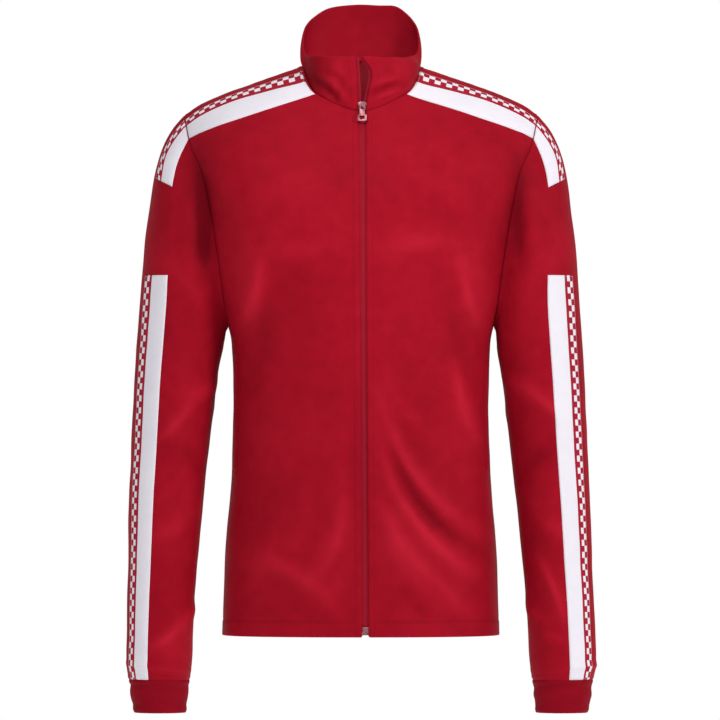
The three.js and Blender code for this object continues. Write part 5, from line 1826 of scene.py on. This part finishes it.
class Bench:
    """Modelling steps on rigid pieces, made as by hand with Blender's operators."""

    @staticmethod
    def hold(*pieces: bpy.types.Object) -> None:
        """Select these pieces and nothing else, the first one active."""
        bpy.ops.object.select_all(action="DESELECT")
        for piece in pieces:
            piece.select_set(True)
        if pieces:
            bpy.context.view_layer.objects.active = pieces[0]

    def block(
        self, name: str, size: tuple[float, float, float], place: tuple[float, float, float]
    ) -> bpy.types.Object:
        """Start a block.

        Args:
            name: Name of the piece.
            size: Width, height and depth.
            place: Its middle.

        Returns:
            The block, with its place in its mesh.
        """
        self.hold()
        bpy.ops.mesh.primitive_cube_add(size=1, location=place)
        piece = bpy.context.object
        piece.scale = size
        bpy.ops.object.transform_apply(location=True, rotation=True, scale=True)
        piece.name = piece.data.name = name
        return piece

    def pick(self, piece: bpy.types.Object, kind: str, test: Callable) -> None:
        """Enter edit mode with chosen elements selected.

        Args:
            piece: Piece to edit.
            kind: VERT, EDGE or FACE.
            test: True for the middle, and the direction or normal, of an element to select.
        """
        bpy.ops.object.mode_set(mode="OBJECT")
        self.hold(piece)
        bpy.ops.object.mode_set(mode="EDIT")
        bpy.ops.mesh.select_mode(type=kind)
        bpy.ops.mesh.select_all(action="DESELECT")
        body = bmesh.from_edit_mesh(piece.data)
        if kind == "FACE":
            for face in body.faces:
                face.select_set(bool(test(face.calc_center_median(), face.normal)))
        elif kind == "EDGE":
            for edge in body.edges:
                a, b = (v.co for v in edge.verts)
                edge.select_set(bool(test((a + b) / 2, (b - a).normalized())))
        else:
            for vert in body.verts:
                vert.select_set(bool(test(vert.co, vert.normal)))
        body.select_flush_mode()
        bmesh.update_edit_mesh(piece.data)

    def done(self) -> None:
        """Leave edit mode."""
        bpy.ops.object.mode_set(mode="OBJECT")

    def split(self, piece: bpy.types.Object, place: tuple, way: tuple) -> None:
        """Cut all faces along a plane."""
        self.pick(piece, "FACE", lambda mid, normal: True)
        bpy.ops.mesh.bisect(plane_co=place, plane_no=way)
        self.done()

    def soften(self, piece: bpy.types.Object, width: float, segments: int = 2) -> None:
        """Round all sharp edges with an applied modifier."""
        self.hold(piece)
        bevel = piece.modifiers.new("soft", "BEVEL")
        bevel.width, bevel.segments = width, segments
        bevel.limit_method, bevel.angle_limit = "ANGLE", math.radians(35)
        bpy.ops.object.modifier_apply(modifier=bevel.name)
        bpy.ops.object.shade_smooth_by_angle(angle=math.radians(35))

    def join(self, pieces: list[bpy.types.Object], name: str) -> bpy.types.Object:
        """Join pieces into one."""
        self.hold(*pieces)
        bpy.ops.object.join()
        pieces[0].name = pieces[0].data.name = name
        return pieces[0]


@dataclass
class ZipMaker:
    """Tapes, coil, slider, pull and retainer box of the front zip."""

    jacket: Jacket
    wardrobe: Wardrobe
    stitches: Stitches
    bench: Bench = field(default_factory=Bench)
    tooth_pitch: float = 1.45
    tooth: tuple[float, float, float] = (0.85, 2.5, 1.5)
    slider_place: tuple[float, float, float] = (1.4601, -70.4371, -52.5)
    slider_up: tuple[float, float, float] = (0.0, 0.0101, 0.9999)
    plate: tuple[float, float, float] = (10.5, 11.5, 1.3)
    plate_floor: float = 0.4
    rear_top: float = -6.85
    pivot_v: float = 0.6
    pivot_rise: float = 3.05
    pull_tilt: float = 27.0
    pull_thick: float = 1.5
    tape_lines: tuple[float, ...] = (0.2, 0.8, 1.5, 2.4, 3.6, 4.9, 7.0, 9.5, 11.9)

    def stations(self, word: str) -> tuple[np.ndarray, np.ndarray, np.ndarray, np.ndarray]:
        """Lines behind the cloth beside the zip.

        Args:
            word: left or right.

        Returns:
            Inner edge points, directions away from the zip, directions into the body, and slack.
        """
        sign = dict(SIDES)[word]
        front, collar = self.jacket.sheets[f"front_{word}"], self.jacket.sheets["collar"]
        foot_z = float(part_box("zip_box")[1].z) / MM + SEAM_GAP
        last = collar.column_at.max()
        edges = (0.0, 1.0) if sign > 0 else (last, last - 1)
        parts = []
        for sheet, lines, (edge, beside), slack in (
            (front, front.row_at[(front.row_at >= 0) & (front.row_at < 20.99)], (0.0, 1.0), 0.0),
            (collar, collar.row_at[collar.row_at > 0.2], edges, ZIP.collar_slack),
        ):
            point, normal = sheet.sample(lines, np.full(len(lines), edge))
            other, other_normal = sheet.sample(lines, np.full(len(lines), beside))
            if sheet is front:
                point[:, 0] = ZIP.x(point[:, 2]) + sign * ZIP.half_strip
            inner = point - normal * sheet.wall
            inner[:, 0] = point[:, 0]
            away = (other - other_normal * sheet.wall) - inner
            into = -normal * (0, 1, 1)
            parts.append((inner, unit(away), unit(into), np.full(len(lines), slack)))
        inner, away, into, slack = (np.concatenate(x) for x in zip(*parts))
        keep = inner[:, 2] > foot_z
        return inner[keep], away[keep], into[keep], slack[keep]

    def bar(self, name: str, word: str, columns: tuple[float, ...], depth: float, wall: float) -> Sheet:
        """Strip behind the zip edge.

        Args:
            name: Name of the strip.
            word: left or right.
            columns: Distances from the middle of the zip.
            depth: Depth behind the cloth.
            wall: Thickness.

        Returns:
            The strip.
        """
        sign = dict(SIDES)[word]
        inner, away, into, slack = self.stations(word)
        lines = []
        for distance in columns:
            past = distance - ZIP.half_strip
            point = inner + away * max(past, 0) + np.array([sign * min(past, 0), 0, 0])
            lines.append(point + into * (SEAM_GAP + slack + depth)[:, None])
        grid, numbers = np.stack(lines[::sign], axis=1), np.array(columns[::sign])
        return Sheet(name, grid, wall, row_at=np.arange(len(grid)), column_at=numbers)

    def tapes(self) -> None:
        """Build both tapes with the sewing that holds the coil."""
        sewing = Stitches(pitch=2.0, length=1.5, radius=0.17, lift=0.06)
        for word, edge in (("left", "start"), ("right", "end")):
            name = f"zip_tape_{word}"
            tape = self.bar(name, word, self.tape_lines, 0.0, WALL.tape)
            number = np.broadcast_to(tape.column_at, tape.grid.shape[:2])
            tape.rise(0.18 * bell(number - 0.9, 0.5) - 0.15 * bell(number - 2.4, 0.4), False)
            piece = shell_object(tape, f"{name}_weave", edge)
            self.wardrobe.dress(piece, Look.TAPE)
            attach(piece, "garment")
            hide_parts(f"zip_tape_{word}")
            rows = np.arange(len(tape.row_at), dtype=float)
            lines = [tape.sample(rows, np.full(len(rows), x)) for x in (1.5, 2.6)]
            thread = sewing.lay(f"zip_tape_stitches_{word}", lines)
            self.wardrobe.dress(thread, Look.THREAD)
            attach(thread, "garment")
            flat, area = tape.cut()

    def coils(self) -> None:
        """Build both rows of coil: one tooth is modelled and copied along a thin core."""
        width, length, depth = self.tooth
        tooth = self.bench.block("tooth", (length, width, depth), (0, 0, 0))
        self.bench.pick(tooth, "EDGE", lambda mid, way: abs(way.x) < 0.1)
        bpy.ops.mesh.bevel(offset=0.24, segments=1, affect="EDGES")
        bpy.ops.mesh.select_all(action="SELECT")
        bpy.ops.mesh.quads_convert_to_tris()
        self.bench.done()
        model = taken(tooth)
        for word, start in (("left", 0.5), ("right", 1.0)):
            name = f"zip_coil_{word}"
            core = self.bar(name, word, (0.7, 2.1), WALL.tape + SEAM_GAP + 0.35, 0.8)
            middle = self.bar("middle", word, (1.3, 1.5), WALL.tape + SEAM_GAP + WALL.coil / 2, 0.1)
            path, normals = middle.grid[:, 0], middle.normals[:, 0]
            stops = np.arange(self.tooth_pitch * start, run_lengths(path)[-1] - 1, self.tooth_pitch)
            centre, up, out = frames_on(path, normals, stops, 0.7)
            teeth = new_piece(
                f"teeth_{word}", *copied(model, [np.cross(up, out), up, out], centre), smoothed=False
            )
            teeth.data.uv_layers.new(name="cloth")
            piece = self.bench.join([shell_object(core, f"{name}_core"), teeth], f"{name}_teeth")
            self.wardrobe.dress(piece, Look.COIL)
            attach(piece, "garment")
            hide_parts(f"zip_coil_{word}")

    def slider_frame(self) -> Matrix:
        """Place and turn of the slider, in millimetres."""
        up = Vector(self.slider_up)
        side = Vector((1, 0, 0))
        turn = Matrix((side, up, side.cross(up))).transposed().to_4x4()
        return Matrix.Translation(self.slider_place) @ turn

    def set_down(self, piece: bpy.types.Object, placing: Matrix, node: str, body: str) -> None:
        """Bring a finished piece from its bench frame to its place.

        Args:
            piece: Piece in millimetres in its own frame.
            placing: Its place and turn.
            node: CAD node that it stands for.
            body: Body that it rides on.
        """
        piece.data.transform(Matrix.Scale(MM, 4) @ placing)
        piece.data.update()
        self.wardrobe.dress(piece, Look.METAL)
        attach(piece, body)
        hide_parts(node)

    def slider_plate(self, name: str, floor: float, crown: float) -> bpy.types.Object:
        """Shield-shaped plate with a raised crown.

        Args:
            name: Name of the plate.
            floor: Height of its underside.
            crown: Rise of its middle, negative for a plate that faces inward.

        Returns:
            The plate.
        """
        width, height, thick = self.plate
        plate = self.bench.block(name, (width, height, thick), (0, 0, floor + thick / 2))
        self.bench.pick(plate, "EDGE", lambda mid, way: abs(way.z) > 0.9)
        bpy.ops.mesh.bevel(offset=3.0, segments=5, affect="EDGES")
        self.bench.done()
        self.bench.pick(plate, "VERT", lambda co, normal: co.y < -2)
        bpy.ops.transform.resize(value=(0.82, 1, 1))
        self.bench.done()
        side = 1 if crown > 0 else -1
        self.bench.pick(plate, "FACE", lambda mid, normal: normal.z * side > 0.9)
        bpy.ops.mesh.inset(thickness=0.9)
        bpy.ops.transform.translate(value=(0, 0, crown))
        self.bench.done()
        self.bench.soften(plate, 0.22)
        return plate

    def slider(self) -> None:
        """Build the slider: two plates, the post between them, and the bridge of the pull."""
        front = self.slider_plate("zip_slider_front", self.plate_floor, 0.22)
        rear = self.slider_plate("zip_slider_rear", self.rear_top - self.plate[2], -0.2)
        top = self.plate_floor + self.plate[2]
        low, high = self.rear_top, top - 0.4
        post = self.bench.block("zip_slider_post", (1.5, 2.2, high - low), (0.3, 3.9, (high + low) / 2))
        self.bench.soften(post, 0.2)
        strap = self.bench.block("zip_slider_bridge", (2.6, 5.6, 1.2), (0, self.pivot_v, top + 3.3))
        for line in (-1.5, 1.5):
            self.bench.split(strap, (0, self.pivot_v + line, 0), (0, 1, 0))
        self.bench.pick(strap, "FACE", lambda mid, normal: normal.z < -0.9 and abs(mid.y - self.pivot_v) > 1.5)
        bpy.ops.mesh.extrude_region_move(TRANSFORM_OT_translate={"value": (0, 0, -2.9)})
        self.bench.done()
        self.bench.pick(strap, "FACE", lambda mid, normal: normal.z > 0.9)
        bpy.ops.transform.resize(value=(0.8, 0.86, 1), center_override=(0, self.pivot_v, top + 3.9))
        self.bench.done()
        self.bench.soften(strap, 0.35, 3)
        body = self.bench.join([front, rear, post, strap], "zip_slider_body")
        self.set_down(body, self.slider_frame(), "zip_slider", "garment")

    def pull(self) -> None:
        """Build the pull: crossbar, eye, stem and ring cut from one sheet of metal."""
        self.bench.hold()
        bpy.ops.mesh.primitive_plane_add(size=1, location=(0, -10.625, 0))
        flat = bpy.context.object
        flat.scale = (11.2, 22.75, 1)
        bpy.ops.object.transform_apply(location=True, rotation=True, scale=True)
        cuts = [((0, v, 0), (0, 1, 0)) for v in (-0.75, -5.4, -12.4, -14.4, -19.4)]
        cuts += [((x, 0, 0), (1, 0, 0)) for x in (-3.2, -1.7, 1.7, 3.2)]
        for place, way in cuts:
            self.bench.split(flat, place, way)
        self.bench.pick(flat, "FACE", lambda mid, normal: (
            (abs(mid.x) > 3.2 and mid.y > -12.4) or (abs(mid.x) < 1.7 and -5.4 < mid.y < -0.75)
            or (abs(mid.x) < 3.2 and -19.4 < mid.y < -14.4)
        ))
        bpy.ops.mesh.delete(type="FACE")
        self.bench.done()
        corner_rounds = {
            (5.6, -12.4): 2.6, (5.6, -22.0): 2.8, (3.2, 0.75): 1.1, (3.2, -14.4): 1.2,
            (3.2, -19.4): 1.5, (1.7, -0.75): 0.5, (1.7, -5.4): 0.7, (3.2, -12.4): 1.0,
        }
        for (x, v), size in corner_rounds.items():
            self.bench.pick(flat, "VERT", lambda co, normal, x=x, v=v: (
                abs(abs(co.x) - x) < 0.01 and abs(co.y - v) < 0.01
            ))
            bpy.ops.mesh.bevel(offset=size, segments=4, affect="VERTICES")
            self.bench.done()
        self.bench.pick(flat, "FACE", lambda mid, normal: True)
        bpy.ops.mesh.dissolve_limited(angle_limit=0.01)
        bpy.ops.mesh.extrude_region_move(TRANSFORM_OT_translate={"value": (0, 0, self.pull_thick)})
        bpy.ops.mesh.select_all(action="SELECT")
        bpy.ops.mesh.normals_make_consistent(inside=False)
        bpy.ops.transform.translate(value=(0, 0, -self.pull_thick / 2))
        self.bench.done()
        self.bench.soften(flat, 0.28, 3)
        flat.name = flat.data.name = "zip_pull_metal"
        placing = self.slider_frame() @ Matrix.Translation((0, self.pivot_v, self.pivot_rise))
        tilt = Matrix.Rotation(math.radians(-self.pull_tilt), 4, "X")
        self.set_down(flat, placing @ tilt, "zip_pull", "pull")

    def retainer(self) -> None:
        """Build the retainer box at the foot of the zip, with its pin beside it."""
        low, high = (Vector(p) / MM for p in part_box("zip_box"))
        middle, size = (low + high) / 2, high - low
        box = self.bench.block("zip_box_shell", tuple(size), tuple(middle))
        self.bench.pick(box, "FACE", lambda mid, normal: normal.y < -0.9)
        bpy.ops.mesh.inset(thickness=1.1)
        bpy.ops.transform.translate(value=(0, 0.4, 0))
        self.bench.done()
        self.bench.soften(box, 0.5, 3)
        place = (middle.x - 0.6, low.y + 0.35, middle.z)
        bar = self.bench.block("zip_box_bar", (0.7, 0.5, size.z * 0.62), place)
        self.bench.soften(bar, 0.15)
        piece = self.bench.join([box, bar], "zip_box_metal")
        self.set_down(piece, Matrix.Identity(4), "zip_box", "garment")

    def build(self) -> None:
        """Build every part of the zip."""
        self.tapes()
        self.coils()
        self.slider()
        self.pull()
        self.retainer()


@dataclass
class Studio:
    """Pale floor, soft lights, and the camera at the photograph's angle."""

    distance: float = 10.0
    width: float = 0.9
    middle_x: float = -0.00125
    middle_z: float = -0.3675
    floor_z: float = -1.1
    ambient: float = 0.4

    def set_up(self, name: str, data: bpy.types.ID, place: tuple[float, float, float],
               aim: tuple[float, float, float]) -> bpy.types.Object:
        """Place a camera or a light.

        Args:
            name: Its name.
            data: Camera or light.
            place: Its location.
            aim: Point that it faces.

        Returns:
            The new object.
        """
        stand = bpy.data.objects.new(name, data)
        stand.location = place
        stand.rotation_euler = (Vector(aim) - Vector(place)).to_track_quat("-Z", "Y").to_euler()
        bpy.context.scene.collection.objects.link(stand)
        return stand

    def camera(self) -> None:
        """Create the camera."""
        data = bpy.data.cameras.new("camera")
        data.lens = 36 * self.distance / self.width
        data.sensor_width = 36
        data.clip_end = 100
        place = (self.middle_x, -self.distance, self.middle_z)
        camera = self.set_up("camera", data, place, (self.middle_x, 0, self.middle_z))
        camera.rotation_euler = (math.pi / 2, 0, 0)
        bpy.context.scene.camera = camera

    def floor(self) -> None:
        """Lay the pale floor."""
        bpy.ops.object.select_all(action="DESELECT")
        bpy.ops.mesh.primitive_plane_add(size=5, location=(0, 0, self.floor_z))
        floor = bpy.context.object
        bpy.ops.object.transform_apply(location=True)
        floor.name = floor.data.name = "floor"
        material = bpy.data.materials.new("pale_paper")
        material.use_nodes = True
        shader = material.node_tree.nodes["Principled BSDF"]
        for name, value in {
            "Base Color": (0.9, 0.9, 0.9, 1), "Roughness": 0.9, "Specular IOR Level": 0.1,
            "Emission Color": (1, 1, 1, 1), "Emission Strength": 0.35,
        }.items():
            shader.inputs[name].default_value = value
        floor.data.materials.append(material)

    def surroundings(self) -> None:
        """Soft light from all around, behind plain white that only the camera sees."""
        world = bpy.data.worlds.new("studio")
        world.use_nodes = True
        world.node_tree.nodes.clear()
        tree = Tree(world.node_tree)
        soft, white = (
            tree.add("ShaderNodeBackground", {"Color": (1, 1, 1, 1), "Strength": strength}).outputs[0]
            for strength in (self.ambient, 1.0)
        )
        seen = tree.add("ShaderNodeLightPath").outputs["Is Camera Ray"]
        mixed = tree.add("ShaderNodeMixShader", {0: seen, 1: soft, 2: white})
        tree.add("ShaderNodeOutputWorld", {"Surface": mixed.outputs[0]})
        bpy.context.scene.world = world

    def light(self, name: str, place: tuple[float, float, float], aim: tuple[float, float, float],
              size: float, power: float) -> None:
        """Add one soft area light.

        Args:
            name: Name of the light.
            place: Its location.
            aim: Point that it faces.
            size: Side of its square.
            power: Watts.
        """
        data = bpy.data.lights.new(name, "AREA")
        data.size, data.energy = size, power
        self.set_up(name, data, place, aim)

    def spot(self, name: str, place: tuple[float, float, float], aim: tuple[float, float, float],
             radius: float, power: float) -> None:
        """Add one narrow light.

        Args:
            name: Name of the light.
            place: Its location.
            aim: Middle of the round patch that it lights.
            radius: Radius of that patch.
            power: Watts.
        """
        data = bpy.data.lights.new(name, "SPOT")
        data.energy, data.shadow_soft_size, data.spot_blend = power, 0.06, 1.0
        data.spot_size = 2 * math.atan(radius / (Vector(aim) - Vector(place)).length)
        self.set_up(name, data, place, aim)

    def build(self) -> None:
        """Set up camera, stage and light."""
        self.camera()
        self.floor()
        self.surroundings()
        self.light("key", (2.5, -2.2, 1.1), (0, 0, -0.36), 0.9, 58)
        self.light("fill", (-1.3, -2.9, 1.7), (0, 0, -0.1), 1.3, 30)
        self.light("top", (0.1, -0.9, 2.0), (0, 0, 0), 1.0, 12)
        self.spot("neck", (-0.35, -0.5, 1.7), (0, 0.02, 0), 0.085, 50)
        self.spot("inside", (0, -0.05, -1.0), (0, 0.06, -0.03), 0.06, 40)
        self.spot("chest", (-0.3, -2.2, 1.2), (0, -0.1, -0.2), 0.25, 60)
        bpy.context.scene.view_settings.view_transform = "Standard"


def main() -> None:
    """Build the jacket in order and report each part."""
    logging.basicConfig(level=logging.INFO, format="%(message)s")
    wardrobe = Wardrobe()
    wardrobe.build()
    jacket = Jacket()
    jacket.shape()
    LOG.info("sheets shaped")
    ClothMaker(jacket, wardrobe).build()
    stitches = Stitches()
    BandMaker(jacket, wardrobe, Stitches(pitch=2.6, length=1.9, radius=0.22, lift=0.05)).build()
    PocketMaker(jacket, wardrobe, stitches).build()
    SeamSewer(jacket, wardrobe, stitches).build()
    ZipMaker(jacket, wardrobe, stitches).build()
    Studio().build()


if __name__ == "__main__":
    main()
